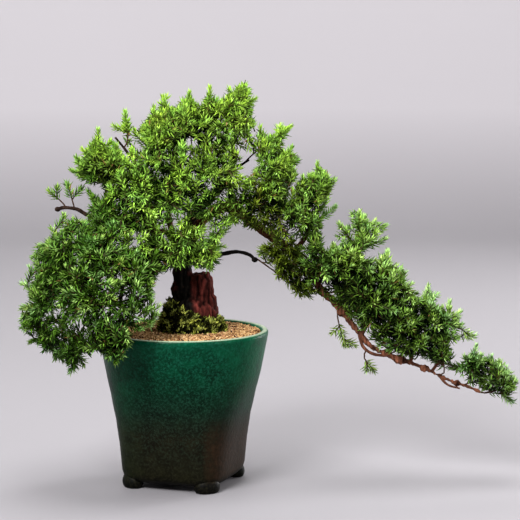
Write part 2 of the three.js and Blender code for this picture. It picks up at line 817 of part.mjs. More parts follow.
// Shortest distance between two segments
function segmentDistance(a, b, c, d) {
  const first = b.clone().sub(a);
  const second = d.clone().sub(c);
  const offset = a.clone().sub(c);
  const lengthA = first.lengthSq();
  const lengthB = second.lengthSq();
  const cross = first.dot(second);
  const f = second.dot(offset);
  const g = first.dot(offset);
  const spread = lengthA * lengthB - cross * cross;
  let s = spread > 1e-9 ? THREE.MathUtils.clamp((cross * f - g * lengthB) / spread, 0, 1) : 0;
  let t = (cross * s + f) / lengthB;
  if (t < 0 || t > 1) {
    t = THREE.MathUtils.clamp(t, 0, 1);
    s = THREE.MathUtils.clamp((cross * t - g) / lengthA, 0, 1);
  }
  return a.clone().addScaledVector(first, s).distanceTo(c.clone().addScaledVector(second, t));
}

// True where a point lies in or close to the pot, the soil or the moss
function nearPot(point) {
  const fromAxis = Math.hypot(point.x, point.y);
  if (point.z < POT_HEIGHT + 2) {
    return fromAxis < RIM_DIAMETER / 2 + 2;
  }
  return point.z < BASE_TOP + 3 && fromAxis < MOSS.centre[0] + MOSS.halfWidth + 3;
}

function isClear(a, b, radius, own) {
  if (nearPot(a) || nearPot(b)) {
    return false;
  }
  for (const key of cellKeys(a, b, radius + 3)) {
    for (const capsule of cells.get(key) ?? []) {
      if (!own || capsule.owner !== own) {
        const room = capsule.radius + radius + CLEARANCE;
        if (segmentDistance(a, b, capsule.a, capsule.b) < room) {
          return false;
        }
      }
    }
  }
  return true;
}

for (const limb of limbs) {
  occupyCurve(limb.curve, (part) => limbRadius(limb, part) * LIMB_SWELL, 'wood');
}
const wood = named('wood', woodGeometry(), COLOURS.wood);

// Foliage. A spray is one closed surface: side shoots and needles are raised from faces of its stems

// Directions in which a stem may be swung aside to pass another piece
const SWINGS = [new THREE.Vector3()];
for (const size of [5, 9, 14]) {
  for (let i = 0; i < 8; i += 1) {
    const angle = (i / 8) * Math.PI * 2;
    SWINGS.push(new THREE.Vector3(Math.cos(angle) * size, Math.sin(angle) * size, 0));
    SWINGS.push(new THREE.Vector3(Math.cos(angle) * size, 0, Math.sin(angle) * size));
  }
}

function curveIsClear(curve, skipped) {
  const length = curve.getLength();
  const steps = Math.ceil(length / 3);
  for (let i = 0; i < steps; i += 1) {
    const far = (length * i) / steps >= skipped;
    if (far && !isClear(curve.getPointAt(i / steps), curve.getPointAt((i + 1) / steps), STEM_RADIUS)) {
      return false;
    }
  }
  return true;
}

// The first of the curves, swung more and more aside, that passes clear of everything placed
function clearCurve(curveFor, skipped) {
  return SWINGS.map(curveFor).find((curve) => curveIsClear(curve, skipped));
}

// A stem with as many whorls of needles as it has room for, up to a number
function stemOn(curve, mostWhorls, parent) {
  const length = curve.getLength();
  const whorls = Math.min(mostWhorls, Math.floor((length - 1.2 * JOINT_LENGTH) / WHORL_STEP));
  const first = parent ? clearOfParent(curve, length, parent) : 0;
  return { curve, length, first, whorls, bareEnd: length - whorls * WHORL_STEP, parent, joints: new Map() };
}

// How far along a side shoot its first ring lies, where it has left its parent's surface
function clearOfParent(curve, length, parent) {
  const near = (at) => {
    const point = curve.getPointAt(at / length);
    const steps = Math.ceil(parent.length);
    for (let i = 0; i <= steps; i += 1) {
      if (parent.curve.getPointAt(i / steps).distanceTo(point) < 2 * STEM_RADIUS + CLEARANCE) {
        return true;
      }
    }
    return false;
  };
  let at = JOINT_LENGTH;
  while (near(at) && at < length / 2) {
    at += 0.4;
  }
  return at;
}

// Places along a stem, in mm, where side shoots may leave it: spaced joints on its bare part and
// the lower whorls
function jointPlaces(stem) {
  const places = [];
  for (let at = stem.first + 1.5 * JOINT_LENGTH; at < stem.bareEnd - JOINT_LENGTH; at += JOINT_SPACING) {
    places.push(at);
  }
  for (let i = 0; i + 1.5 < stem.whorls; i += 1) {
    places.push(stem.bareEnd + (i + 0.5) * WHORL_STEP);
  }
  return places;
}

// The best place on a spray's stems for a side shoot to leave towards its tip
function branchingPoint(stems, tip) {
  let best = { cost: Infinity };
  for (const stem of stems) {
    for (const at of jointPlaces(stem).filter((place) => !stem.joints.has(place))) {
      const point = stem.curve.getPointAt(at / stem.length);
      const tangent = stem.curve.getTangentAt(at / stem.length);
      const towards = tip.clone().sub(point);
      const length = towards.length();
      const turn = 1 - towards.normalize().dot(tangent);
      const cost = length * (1 + 0.9 * turn * turn) + (at > stem.bareEnd ? 3 : 0) + (turn < 0.1 ? 4 : 0);
      if (cost < best.cost && length > 9) {
        best = { cost, stem, at, point, heading: tangent.lerp(towards, 0.6).normalize() };
      }
    }
  }
  return best;
}

function growStems(spray) {
  const { start, axisPoint } = leaving(spray.root);
  const mainCurve = (swing) => {
    const bend = spray.root.clone().addScaledVector(swing, 0.5);
    return new THREE.CatmullRomCurve3([start, bend, spray.tips[0]]);
  };
  const main = stemOn(clearCurve(mainCurve, 4) ?? mainCurve(SWINGS[0]), MAIN_WHORLS, null);
  main.root = rootOnBark(start, axisPoint);
  const stems = [main];
  occupyCurve(main.curve, () => STEM_RADIUS, main);
  for (const tip of spray.tips.slice(1)) {
    const { stem: parent, at, point, heading } = branchingPoint(stems, tip);
    const length = point?.distanceTo(tip);
    const sideCurve = (swing) => {
      const bend = point.clone().addScaledVector(heading, length * 0.45).add(swing);
      return new THREE.QuadraticBezierCurve3(point, bend, tip);
    };
    const curve = point && clearCurve(sideCurve, 4.5);
    if (curve) {
      const stem = stemOn(curve, SIDE_WHORLS, parent);
      parent.joints.set(at, stem);
      stems.push(stem);
      occupyCurve(curve, () => STEM_RADIUS, stem);
    }
  }
  return stems;
}

// The point of a spray's root, which reaches in from its first ring until it almost meets the bark
function rootOnBark(start, axisPoint) {
  const inward = axisPoint.clone().sub(start).normalize();
  const [bark] = new THREE.Raycaster(start, inward).intersectObject(wood);
  return start.clone().addScaledVector(inward, Math.max(0, bark.distance - GAP));
}

// Needles are tried as grown, then bent forward and shortened, and left out where none is clear
const NEEDLE_TRIES = [[1, 1], [0.75, 1], [0.55, 0.95], [1.2, 0.9], [0.75, 0.75]];

function needleApex(base, out, along, angle, length, stem) {
  for (const [lean, size] of NEEDLE_TRIES) {
    const direction = along.clone().multiplyScalar(Math.cos(angle * lean));
    direction.addScaledVector(out, Math.sin(angle * lean));
    const near = base.clone().addScaledVector(direction, 1.2);
    const apex = base.clone().addScaledVector(direction, length * size);
    if (isClear(near, apex, NEEDLE_RADIUS, stem)) {
      occupy(near, apex, NEEDLE_RADIUS, 'needle');
      return apex;
    }
  }
  return null;
}

// Where the rings of a stem lie, in mm along it
function ringPlaces(stem) {
  const places = [stem.first];
  const stretchTo = (at) => {
    const last = places[places.length - 1];
    const parts = Math.ceil((at - last) / LONGEST_STRETCH);
    for (let i = 1; i < parts; i += 1) {
      places.push(last + ((at - last) * i) / parts);
    }
    places.push(at);
  };
  for (const at of [...stem.joints.keys()].filter((joint) => joint < stem.bareEnd).sort((a, b) => a - b)) {
    stretchTo(at - JOINT_LENGTH / 2);
    places.push(at + JOINT_LENGTH / 2);
  }
  if (stem.bareEnd - places[places.length - 1] > 0.8) {
    stretchTo(stem.bareEnd);
  }
  for (let i = 1; i <= stem.whorls; i += 1) {
    places.push(stem.bareEnd + (i - 0.15) * WHORL_STEP);
  }
  return places;
}

// Adds a stem to the surface of its spray, from a ring of three points: a twisted three-sided tube
function raiseStem(stem, surface, start) {
  const { curve, length } = stem;
  const { points, triangles } = surface;
  const places = ringPlaces(stem);
  const rings = start.ring ? [start.ring] : [];
  let side = start.side;
  const firstRing = rings.length;
  places.forEach((at, index) => {
    const along = curve.getTangentAt(at / length);
    side = side.clone().addScaledVector(along, -side.dot(along)).normalize();
    const other = along.clone().cross(side);
    const centre = curve.getPointAt(at / length);
    const radius = STEM_RADIUS * (1 - (0.25 * at) / length);
    const ring = [0, 1, 2].map((k) => {
      const angle = ((index + 2 * k) * Math.PI) / 3;
      const point = centre.clone().addScaledVector(side, radius * Math.cos(angle));
      return points.push(point.addScaledVector(other, radius * Math.sin(angle))) - 1;
    });
    rings.push(ring);
  });
  for (let i = 0; i + 1 < rings.length; i += 1) {
    const [lower, upper] = [rings[i], rings[i + 1]];
    const at = i < firstRing ? 0 : (places[i - firstRing] + places[i + 1 - firstRing]) / 2;
    const faces = [0, 1, 2].flatMap((k) => [
      [lower[k], lower[(k + 1) % 3], upper[k]],
      [upper[k], lower[(k + 1) % 3], upper[(k + 1) % 3]],
    ]);
    const child = childAt(stem, at);
    const host = child && hostFace(child, faces, points, curve.getTangentAt(at / length));
    faces.forEach((face, order) => {
      const needled = face !== host && order % 2 === 0 && at > stem.bareEnd;
      const apex = needled ? needleOn(face, stem, at, surface) : null;
      if (face === host) {
        const [a, b, c] = face.map((index) => points[index]);
        const towardsEdge = a.clone().add(b).multiplyScalar(0.5).sub(middle([a, b, c]));
        raiseStem(child, surface, { ring: face, side: towardsEdge });
      } else if (apex) {
        const top = points.push(apex) - 1;
        triangles.push([face[0], face[1], top], [face[1], face[2], top], [face[2], face[0], top]);
      } else {
        triangles.push(face);
      }
    });
  }
  const [a, b, c] = rings[rings.length - 1];
  const bud = points.push(curve.getPointAt(1).addScaledVector(curve.getTangentAt(1), 0.8)) - 1;
  triangles.push([a, b, bud], [b, c, bud], [c, a, bud]);
  if (stem.root) {
    const [d, e, f] = rings[0];
    const root = points.push(stem.root) - 1;
    triangles.push([e, d, root], [f, e, root], [d, f, root]);
  }
}

// The side shoot that leaves a stem in the stretch round a place, if any
function childAt(stem, at) {
  const joint = [...stem.joints.keys()].find((place) => Math.abs(place - at) < 0.4 * JOINT_LENGTH);
  return stem.joints.get(joint);
}

// The face that looks most to the side where a side shoot goes
function hostFace(child, faces, points, along) {
  const heading = child.curve.getPointAt(child.first / child.length).sub(child.curve.getPointAt(0));
  heading.addScaledVector(along, -heading.dot(along));
  const facing = faces.map((face) => faceNormal(face, points).dot(heading));
  return faces[facing.indexOf(Math.max(...facing))];
}

function faceNormal(face, points) {
  const [a, b, c] = face.map((index) => points[index]);
  return new THREE.Triangle(a, b, c).getNormal(new THREE.Vector3());
}

function needleOn(face, stem, at, { points, draw }) {
  const base = middle(face.map((index) => points[index]));
  const along = stem.curve.getTangentAt(at / stem.length);
  const out = base.clone().sub(stem.curve.getPointAt(at / stem.length));
  out.addScaledVector(along, -out.dot(along)).normalize();
  const whorl = (at - stem.bareEnd) / WHORL_STEP / stem.whorls;
  const nearTip = Math.max(0, (whorl - 0.5) / 0.5);
  const angle = NEEDLE_ANGLE + (TIP_ANGLE - NEEDLE_ANGLE) * nearTip + between(draw, -0.12, 0.12);
  return needleApex(base, out, along, angle, NEEDLE_LENGTH * between(draw, 0.85, 1.08), stem);
}

function sprayGeometry(spray, index) {
  const surface = { points: [], triangles: [], draw: seeded(101 + index * 17) };
  const [main] = growStems(spray);
  const turn = between(surface.draw, 0, Math.PI);
  const side = new THREE.Vector3(Math.cos(turn), Math.sin(turn), 0.2).cross(main.curve.getTangentAt(0));
  raiseStem(main, surface, { side });
  return geometryFrom(surface.points, surface.triangles);
}

// Assembly

const bonsai = new THREE.Group();
bonsai.add(named('pot', potGeometry(), COLOURS.pot));
bonsai.add(named('drain_mesh', drainMeshGeometry(), COLOURS.drain_mesh));
bonsai.add(named('soil', soilGeometry(), COLOURS.soil));
bonsai.add(named('moss', mossGeometry(), COLOURS.moss));
bonsai.add(wood);
sprays.forEach((spray, index) => {
  bonsai.add(named(spray.name, sprayGeometry(spray, index), COLOURS[spray.region]));
});

// The origin is under the middle of the whole bonsai, on the surface that it stands on
const extent = new THREE.Box3().setFromObject(bonsai);
const centre = extent.getCenter(new THREE.Vector3());
bonsai.position.set(-centre.x, -centre.y, -extent.min.z);

const group = new THREE.Group();
group.add(bonsai);
group.updateMatrixWorld(true);

export default group;
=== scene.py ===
# The looks of a Japanese juniper bonsai in its glazed pot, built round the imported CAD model.
# Lengths are in millimetres, from the middle of the pot on its table, unless they are said to be in
# metres. A point of the tables has the x and z that it is seen at in the plane of the trunk, from the
# eye point, and its depth behind that plane.
import math

import bpy
import numpy as np
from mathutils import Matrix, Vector, noise
from mathutils.kdtree import KDTree


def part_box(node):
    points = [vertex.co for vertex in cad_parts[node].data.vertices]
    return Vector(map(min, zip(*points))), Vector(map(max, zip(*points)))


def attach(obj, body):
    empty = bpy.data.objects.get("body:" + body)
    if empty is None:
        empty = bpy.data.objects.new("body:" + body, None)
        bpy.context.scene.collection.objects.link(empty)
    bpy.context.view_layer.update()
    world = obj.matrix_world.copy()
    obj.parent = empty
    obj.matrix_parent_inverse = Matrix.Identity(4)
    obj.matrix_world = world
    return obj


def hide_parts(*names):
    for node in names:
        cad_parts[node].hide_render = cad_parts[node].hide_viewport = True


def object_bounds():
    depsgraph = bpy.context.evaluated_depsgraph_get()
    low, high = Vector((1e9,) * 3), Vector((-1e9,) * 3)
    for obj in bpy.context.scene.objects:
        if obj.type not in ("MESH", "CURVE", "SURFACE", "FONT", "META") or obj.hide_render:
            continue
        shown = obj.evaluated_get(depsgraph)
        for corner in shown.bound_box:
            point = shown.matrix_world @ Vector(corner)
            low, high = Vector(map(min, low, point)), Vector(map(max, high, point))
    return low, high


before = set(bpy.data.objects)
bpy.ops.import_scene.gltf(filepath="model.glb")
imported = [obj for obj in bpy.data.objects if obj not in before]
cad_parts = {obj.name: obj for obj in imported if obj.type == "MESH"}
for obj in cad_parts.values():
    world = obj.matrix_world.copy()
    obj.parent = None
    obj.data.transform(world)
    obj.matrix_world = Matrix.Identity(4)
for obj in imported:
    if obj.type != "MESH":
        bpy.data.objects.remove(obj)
cad_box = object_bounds()

# Place of the plant in the row's frame, and the eye point
MM = 0.001
POT_AXIS = np.array([(low + high) / 2 / MM for low, high in zip(*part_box("pot"))][:2] + [0.0])
EYE = np.array([67.6, -1534.0, 363.5])
EYE_PITCH = math.radians(6.15)
LENS = 121.3
SENSOR = 36.0

# Pot, as in the CAD model: levels have their height, half width and roundness, where 2 is round
RIM_RADIUS = 75.0
POT_HEIGHT = 137.0
WALL = 6.0
UNDERSIDE = 6.7
FLOOR_TOP = 15.0
DRAIN_RADIUS = 8.0
POT_TURN = math.radians(-18.9)
POT_SIDES = 128
POT_LEVELS = [
    (UNDERSIDE, 43.4, 4.4), (9.6, 46.4, 4.4), (15, 47.9, 4.4), (38, 50.7, 3.8), (60, 54.9, 3.2),
    (82, 61.6, 2.5), (100, 67.9, 2.1), (133, RIM_RADIUS - 0.1, 2),
]
OUTER_HEIGHTS = [
    UNDERSIDE, 7.4, 8.4, 9.6, 12, 15, 22, 30, 38, 46, 54, 60, 68, 75, 82, 88, 94, 100, 112, 124, 133,
]
INNER_HEIGHTS = [125, 100, 60, FLOOR_TOP]

# Roll of the rim: height, and how far in from the rim's radius. Feet: height, and part of the full size
RIM_ROLL = [
    (135.2, 0.1), (136.2, 0.6), (136.8, 1.3), (137.0, 2.2), (137.0, 3.6), (136.6, 4.8), (135.6, 5.6),
    (134, WALL), (131, WALL),
]
FOOT_LEVELS = [(0, 0.66), (0.2, 0.76), (1.2, 0.84), (3, 0.9), (5, 0.92), (7, 0.9), (9, 0.84), (12, 0.7)]
FOOT_FROM_AXIS = 49.3
FOOT_HALF = (9.5, 12.8)
FOOT_SIDES = 24

# Soil: it slopes down to its edge between two distances from the axis
GAP = 0.3
SOIL_SLOPE = (40, 68)
SOIL_EDGE = 135.0
SOIL_FLAT = 136.0
SOIL_SIDES = 96
SOIL_RINGS = 26
GRAINS = 5200
GRAIN_RADII = (0.6, 1.35)
GRAIN_CORNERS = np.array([[1, 0, 0], [-1, 0, 0], [0, 1, 0], [0, -1, 0], [0, 0, 1], [0, 0, -1]], float)
GRAIN_FACES = np.array([
    [0, 2, 4], [2, 1, 4], [1, 3, 4], [3, 0, 4], [2, 0, 5], [1, 2, 5], [3, 1, 5], [0, 3, 5],
])

# Moss: the middle and half sizes of its mound, and its tufts
MOSS_CENTRE = np.array([7.5, -2.0])
MOSS_HALF = np.array([29.0, 26.0])
MOSS_HEIGHT = 20.5
MOSS_FALL = 9.0
MOSS_SIDES = 72
MOSS_RIM = 0.93
TUFTS = 1150
TUFT_LEAVES = 6
LEAF_LENGTHS = (3.2, 5.4)
LEAF_RADII = (0.7, 1.25)
LEAF_SPREAD = 0.55

# Foot of the trunk: height and radius of its levels, and rounded parts with their middle and half sizes
TRUNK_X = 10.5
BASE_RADIUS = 19.5
BASE_TOP = 157.0
BASE_SIDES = 28
BASE_RIBS = 5
BASE_LEVELS = [
    (100, 13.0), (128, BASE_RADIUS), (152, BASE_RADIUS), (157, 18.6), (160, 16.2), (163, 13.6),
    (167, 11.0), (171, 9.0),
]
TRUNK_SWELLS = [
    ((-5.3, -1.0, 172.5), (6.2, 6.5, 8.5)), ((8.5, 0.0, 168.0), (8.0, 9.5, 17.5)),
    ((24.6, -2.0, 159.5), (5.6, 7.0, 9.0)), ((-7.5, -4.0, 158.0), (5.0, 7.0, 8.0)),
    ((2.0, -9.5, 157.0), (6.0, 5.0, 8.0)), ((14.5, -10.0, 156.0), (5.0, 5.0, 9.0)),
]

# Swellings on the wood: the limb, the x and z that they are seen at, and their radius
KNOTS = [
    ("cascade_limb", 190, 108.5, 4.4), ("cascade_limb", 178, 113, 3.2), ("cascade_limb", 214, 103, 3.2),
    ("cascade_limb", 243, 92, 3.0), ("cascade_limb", 140, 152, 4.6), ("bare_branch", 63, 199, 2.4),
    ("knob_twig", -110, 243, 2.2), ("leader", 44, 286, 3.4), ("leader", 21, 251, 5.0),
]

# Wood
LIMB_STEP = 1.5
THICK_STEP = 2.2
THICKEST_TWIG = 3.5
BARK_VOXEL = 0.9
RIDGE_SPACING = np.array([2.4, 2.4, 15.0])
RIDGE_HEIGHT = 1.5
RIDGES_TOP = 196
LUMP_SPACING = 3.2
LUMP_HEIGHT = 0.5
BLACK_BARK = (0.0035, 0.003, 0.0025)
DARK_BARK = (0.02, 0.011, 0.008)
RED_BARK = (0.045, 0.009, 0.007)
BROWN_BARK = (0.085, 0.032, 0.018)
BARK_OF = {
    "trunk": BLACK_BARK, "bare_branch": BLACK_BARK, "upper_right_twig": BLACK_BARK, "stub": RED_BARK,
    "knob_twig": DARK_BARK, "spur": DARK_BARK, "leader": DARK_BARK, "low_left_limb": DARK_BARK,
}

# A red patch on the bulge of the trunk: the x and z that it is seen at, and its radius
RED_PATCH = ((-9.0, 175.0), 4.0)

# Limbs: the radius at both ends, and the points along each
LIMBS = {
    "trunk": ((10.6, 7.2), [(1.5, 150, 0), (0, 172, 0), (-1, 188, 1), (-2, 203, 2)]),
    "stub": ((12, 7.9), [(18.5, 150, 0), (17, 168, -1), (15.2, 186.5, -2)]),
    "leader": ((6.4, 1.5), [
        (-2, 196, 2), (3, 226, -1), (12, 240, -3), (21, 251, -3), (33, 262, -2), (41, 272, -1),
        (44, 286, 0), (44, 300, 0), (45, 312, 0),
    ]),
    "left_limb": ((5.6, 1.3), [
        (-2, 194, 1), (-14, 208, -2), (-24, 220, -4), (-28, 240, -5), (-33, 258, -5), (-38, 275, -5),
        (-44, 289, -5), (-46.5, 297, -5),
    ]),
    "spur": ((1.7, 0.9), [(-40, 281, -5), (-50, 295, -6), (-59, 306, -8)]),
    "upper_left_branch": ((3, 1.3), [
        (-28.5, 242, -5), (-42, 246, -10), (-55, 253, -14), (-65, 263, -16),
    ]),
    "knob_twig": ((2.4, 1.6), [
        (-25, 223, -4), (-48, 228, -12), (-68, 232, -14), (-84, 238, -13), (-93, 243, -12),
        (-104, 244.5, -12), (-110, 243, -12),
    ]),
    "left_branch": ((2, 1.2), [(-56, 230, -13), (-74, 222, -19), (-88, 214, -23)]),
    "low_left_limb": ((4.8, 1.3), [
        (-3, 194, 0), (-20, 203, -12), (-46, 204, -27), (-70, 192, -37), (-90, 174, -40), (-101, 155, -36),
        (-105, 143, -33),
    ]),
    "front_left_branch": ((2.6, 1.2), [
        (-44, 204, -26), (-50, 190, -40), (-54, 171, -55), (-56, 156, -66),
    ]),
    "cascade_limb": ((6, 1), [
        (-1, 196, 4), (12, 226, 9), (27, 242, 8), (44, 244, 4), (58, 234, 1), (73, 222, 0), (87, 213, 0),
        (98, 204, 0), (108, 193, 0), (121, 172, 0), (132, 162, 0), (140, 153, 0), (150.6, 139.5, 0),
        (158.6, 128.6, 0), (167.4, 120.5, 0), (187, 111, 0), (201, 106.6, 0), (214, 101.6, 0),
        (228, 94.4, 0), (239, 89.5, 0), (254, 84.6, 0), (266, 79, 0),
    ]),
    "twin_twig": ((1.7, 1.2), [(155, 133, 0), (159, 121, -3), (168, 114.5, -4), (181, 113, -1)]),
    "loop_twig": ((1.2, 0.9), [(226, 95.5, 0), (234, 87, -2), (245, 83.5, -2)]),
    "bare_branch": ((2.6, 1.5), [
        (2, 199, 0), (20, 202, -4), (34, 203.5, -4), (47, 205.5, -3), (58, 203, -2), (63, 198.5, -2),
    ]),
    "crown_branch": ((3, 1.2), [(12, 240, -3), (10, 255, -3), (4, 270, -2), (-5, 284, -1), (-6, 295, 0)]),
    "crown_right_branch": ((2, 1.1), [(41, 273, -1), (34, 286, 1), (26, 299, 2)]),
    "upper_right_twig": ((1.3, 1), [(44, 280, 0), (51, 282, -1), (58, 286.5, -2)]),
    "inner_right_branch": ((2.3, 1.2), [(42, 244, 4), (56, 250, -5), (67, 254, -9)]),
    "right_branch": ((2.7, 1.3), [(97, 205, 0), (106, 216, -3), (112, 228, -3), (117, 239, -2)]),
    "far_right_branch": ((2.3, 1.1), [(110, 190, 0), (127, 189, -2), (142, 197, -2), (151, 204, -1)]),
    "cascade_riser": ((2, 1.1), [(157, 131, 0), (163, 142, -3), (172, 156, -3)]),
    "end_riser": ((1.6, 1), [(201, 106.6, 0), (204, 120, -2), (207.5, 132, -2)]),
    "end_twig": ((1.5, 1), [(220, 99, 0), (226, 108, -2), (229, 117, -2)]),
    "back_limb": ((4.2, 1.2), [
        (-4, 196, 4), (-10, 222, 22), (-13, 246, 30), (-8, 270, 30), (4, 290, 25),
    ]),
    "back_left_branch": ((2.6, 1.2), [(-10, 221, 21), (-30, 226, 28), (-52, 224, 29)]),
    "back_upper_branch": ((2, 1.1), [(-28, 226, 28), (-44, 246, 28), (-56, 263, 24)]),
    "back_low_branch": ((3, 1.2), [(-6, 195, 4), (-28, 202, 9), (-54, 194, 12), (-76, 181, 13)]),
    "back_right_branch": ((2.4, 1.2), [(38, 245, 5), (56, 249, 17), (71, 247, 22)]),
}

# Sprays of each region: the root of a spray, and then its tips
SPRAYS = {
    "crown": [
        [(-48, 305, -5), (-50, 328, -6), (-60, 316, -2)],
        [(-70, 272, -17), (-74, 312, -20), (-63, 303, -28), (-88, 296, -12), (-97, 277, -16),
         (-93, 288, -28), (-76, 290, 6)],
        [(-53, 266, -14), (-58, 299, -20), (-66, 284, -38), (-58, 282, 6)],
        [(-30, 288, -2), (-25, 332, -10), (-42, 312, 8), (-13, 316, -28), (-22, 302, -40)],
        [(-5, 303, 0), (-17, 341, 4), (6, 345, -4), (-18, 322, 20), (12, 330, 10), (6, 318, -32)],
        [(24, 306, 2), (24, 349, 2), (30, 339, 8), (26, 324, 22)],
        [(46, 319, 0), (55, 356, -2), (41, 348, 4), (64, 340, 4), (34, 337, -8), (43, 332, 22),
         (50, 322, -28)],
        [(65, 294, -3), (94, 315, -4), (68, 315, -4), (85, 316, 6), (86, 299, 4)],
        [(20, 270, -9), (20, 297, -22), (36, 288, -28), (22, 276, -44), (40, 268, -36)],
    ],
    "right": [
        [(72, 259, -11), (95, 297, -12), (101, 286, -4), (82, 284, -28), (68, 286, -16), (80, 258, -36)],
        [(119, 246, -2), (118, 283, -4), (126, 274, 8), (111, 272, -12), (133, 269, -2), (118, 262, -22)],
        [(105, 225, -9), (105, 271, -12), (134, 246, -2), (96, 260, -26), (92, 246, -28), (123, 236, -16),
         (110, 234, -34)],
        [(150, 212, -2), (137, 230, -6), (136, 219, -10)],
        [(158, 208, -1), (160, 236, -6), (155, 240, 10), (169, 234, 2), (178, 229, 0), (178, 217, 8)],
        [(125, 186, -9), (132, 212, -12), (138, 198, -28), (115, 195, -24), (127, 202, 10)],
        [(141, 174, -6), (147, 211, -6), (158, 198, -20), (155, 193, 14)],
        [(175, 162, -3), (180, 206, -4), (188, 194, -8), (196, 187, 2), (201, 177, -6), (206, 169, 4),
         (182, 174, -24), (176, 186, 16)],
        [(160, 144, -8), (161, 173, -14), (171, 162, -26), (168, 156, 12)],
        [(190, 121, -5), (190, 157, -10), (199, 146, -20), (187, 140, 14)],
        [(209, 139, -2), (216, 175, -2), (224, 168, 4), (228, 156, -2), (214, 152, 14)],
        [(207, 112, -5), (206, 138, -10), (197, 126, -20), (214, 120, 10)],
        [(230, 123, -2), (235, 161, -2), (244, 152, 4), (228, 149, -12), (246, 141, -4), (258, 131, 2)],
        [(231, 99, -5), (226, 128, -11), (235, 116, -14), (218, 117, 10)],
        [(253, 91, -1), (259, 122, -4), (249, 112, -12), (263, 113, 6), (255, 104, 14)],
        [(271, 80, 0), (297, 88, -3), (273, 112, 0), (286, 103, 6), (294, 72, 2), (286, 92, -12)],
    ],
    "under": [
        [(66, 198.5, -2), (112, 165, -4), (103, 167, 6), (84, 183, 6), (79, 197, -10)],
        [(136, 149, 0), (142, 123, 2), (131, 133, -4), (152, 122, -2)],
        [(160, 111, -3), (169, 99, 0), (162, 99, -6)],
        [(91, 206, -5), (85, 188, -10), (98, 185, -14), (77, 204, -20), (91, 190, 12)],
        [(60, 238, -8), (68, 254, -28), (54, 230, -28), (78, 240, -28), (64, 226, -20)],
    ],
    "centre": [
        [(0, 247, -10), (-6, 286, -28), (10, 264, -42), (-18, 270, -36), (-11, 252, -46)],
        [(33, 250, -7), (46, 231, -20), (33, 227, -26), (54, 250, -22), (24, 242, -36)],
        [(6, 213, -11), (25, 190, -24), (36, 210, -18), (12, 192, -38), (-6, 195, -36), (-10, 226, -44),
         (10, 226, -42)],
        [(-22, 207, -19), (-34, 188, -34), (-22, 190, -28), (-40, 206, -48), (-30, 218, -46)],
        [(-35, 252, -12), (-36, 279, -30), (-50, 262, -38), (-25, 260, -42), (-40, 246, -46)],
    ],
    "left": [
        [(-62, 238, -18), (-76, 250, -36), (-83, 259, -18), (-72, 236, -50), (-50, 236, -48)],
        [(-106, 249, -12), (-117, 259, -11), (-110, 263, -14)],
        [(-96, 247, -13), (-101, 264, -14), (-89, 262, -12)],
        [(-94, 212, -25), (-128, 211, -32), (-116, 226, -26), (-105, 238, -32), (-96, 230, -48),
         (-133, 201, -24), (-114, 208, -54), (-116, 198, -6)],
        [(-107, 166, -29), (-145, 155, -28), (-135, 191, -30), (-140, 177, -26), (-120, 184, -54),
         (-126, 182, -6), (-127, 158, -58), (-144, 138, -30)],
        [(-110, 138, -31), (-136, 125, -34), (-124, 117, -44), (-120, 134, -58), (-114, 110, -28)],
        [(-88, 139, -46), (-101, 98, -48), (-89, 105, -54), (-73, 117, -68), (-98, 120, -72),
         (-86, 122, -82), (-70, 134, -82)],
        [(-56, 148, -71), (-60, 107, -90), (-69, 116, -92), (-49, 122, -96), (-26, 143, -80),
         (-22, 157, -76), (-37, 137, -90), (-60, 130, -106)],
        [(-47, 181, -50), (-28, 181, -62), (-29, 169, -70), (-40, 191, -76), (-44, 172, -86)],
        [(-73, 199, -43), (-72, 216, -66), (-60, 198, -76), (-86, 208, -72), (-72, 186, -84)],
        [(-80, 168, -50), (-78, 170, -92), (-92, 190, -72), (-97, 158, -80), (-62, 166, -92),
         (-78, 148, -94)],
    ],
    "back": [
        [(-60, 269, 25), (-78, 292, 36), (-60, 300, 44), (-86, 270, 44), (-66, 274, 60)],
        [(8, 295, 25), (4, 334, 36), (-24, 324, 34), (-8, 314, 56), (-34, 304, 48), (34, 334, 32),
         (52, 322, 38)],
        [(-10, 250, 37), (-8, 246, 72), (-28, 268, 58), (4, 276, 60), (-30, 240, 60)],
        [(-59, 223, 31), (-92, 218, 44), (-64, 246, 56), (-64, 214, 70), (-78, 200, 54)],
        [(-83, 177, 15), (-112, 170, 22), (-108, 194, 26), (-92, 158, 40), (-76, 178, 52)],
        [(78, 247, 25), (98, 272, 34), (74, 274, 44), (104, 246, 40), (80, 242, 60)],
        [(139, 177, 12), (150, 204, 30), (132, 196, 36), (164, 178, 30), (142, 168, 42)],
        [(8, 212, 22), (16, 206, 58), (30, 196, 40), (-8, 198, 44), (36, 222, 42)],
    ],
}

# Needles, and the shoots that carry them
NEEDLE_LENGTH = 8.2
NEEDLE_RADIUS = 0.68
LENGTH_RANGE = (0.8, 1.08)
RADIUS_RANGE = (0.85, 1.12)
WIDEST = 0.36
NEEDLE_FACES = np.array([[2, 1, 0], [3, 2, 0], [1, 3, 0], [1, 2, 4], [2, 3, 4], [3, 1, 4]])
WHORL_STEP = 2.1
LONE_WHORL_STEP = 1.35
OPEN_ANGLE = math.radians(54)
BUD_ANGLE = math.radians(20)
BUD_SHRINK = 0.36
WHORL_SCATTER = 0.16
ANGLE_SCATTER = 0.07
NEEDLE_LIFT = 0.1
STEM_RADIUS = 0.775
STEM_STEP = 1.3
NEEDLED_LENGTH = 26.0
BARK_STEP = 4.0
PATH_PULL = 0.36
FREE_EVERY = 3
FEWEST_POINTS = 5
SIDE_RADIUS = 0.5
SIDE_STEP = 4.6
SIDE_ANGLE = math.radians(44)
SIDE_TURN = 2.4
LONGEST_SIDE = 15.5
SHORTEST_SIDE = 6.5
CLOSEST_FORK = 7
TURN_COST = 0.9
STRAIGHT_COST = 4
TIP_LIFT = 0.35
FIRST_NEEDLED = 0.6
OTHERS_NEEDLED = 0.85
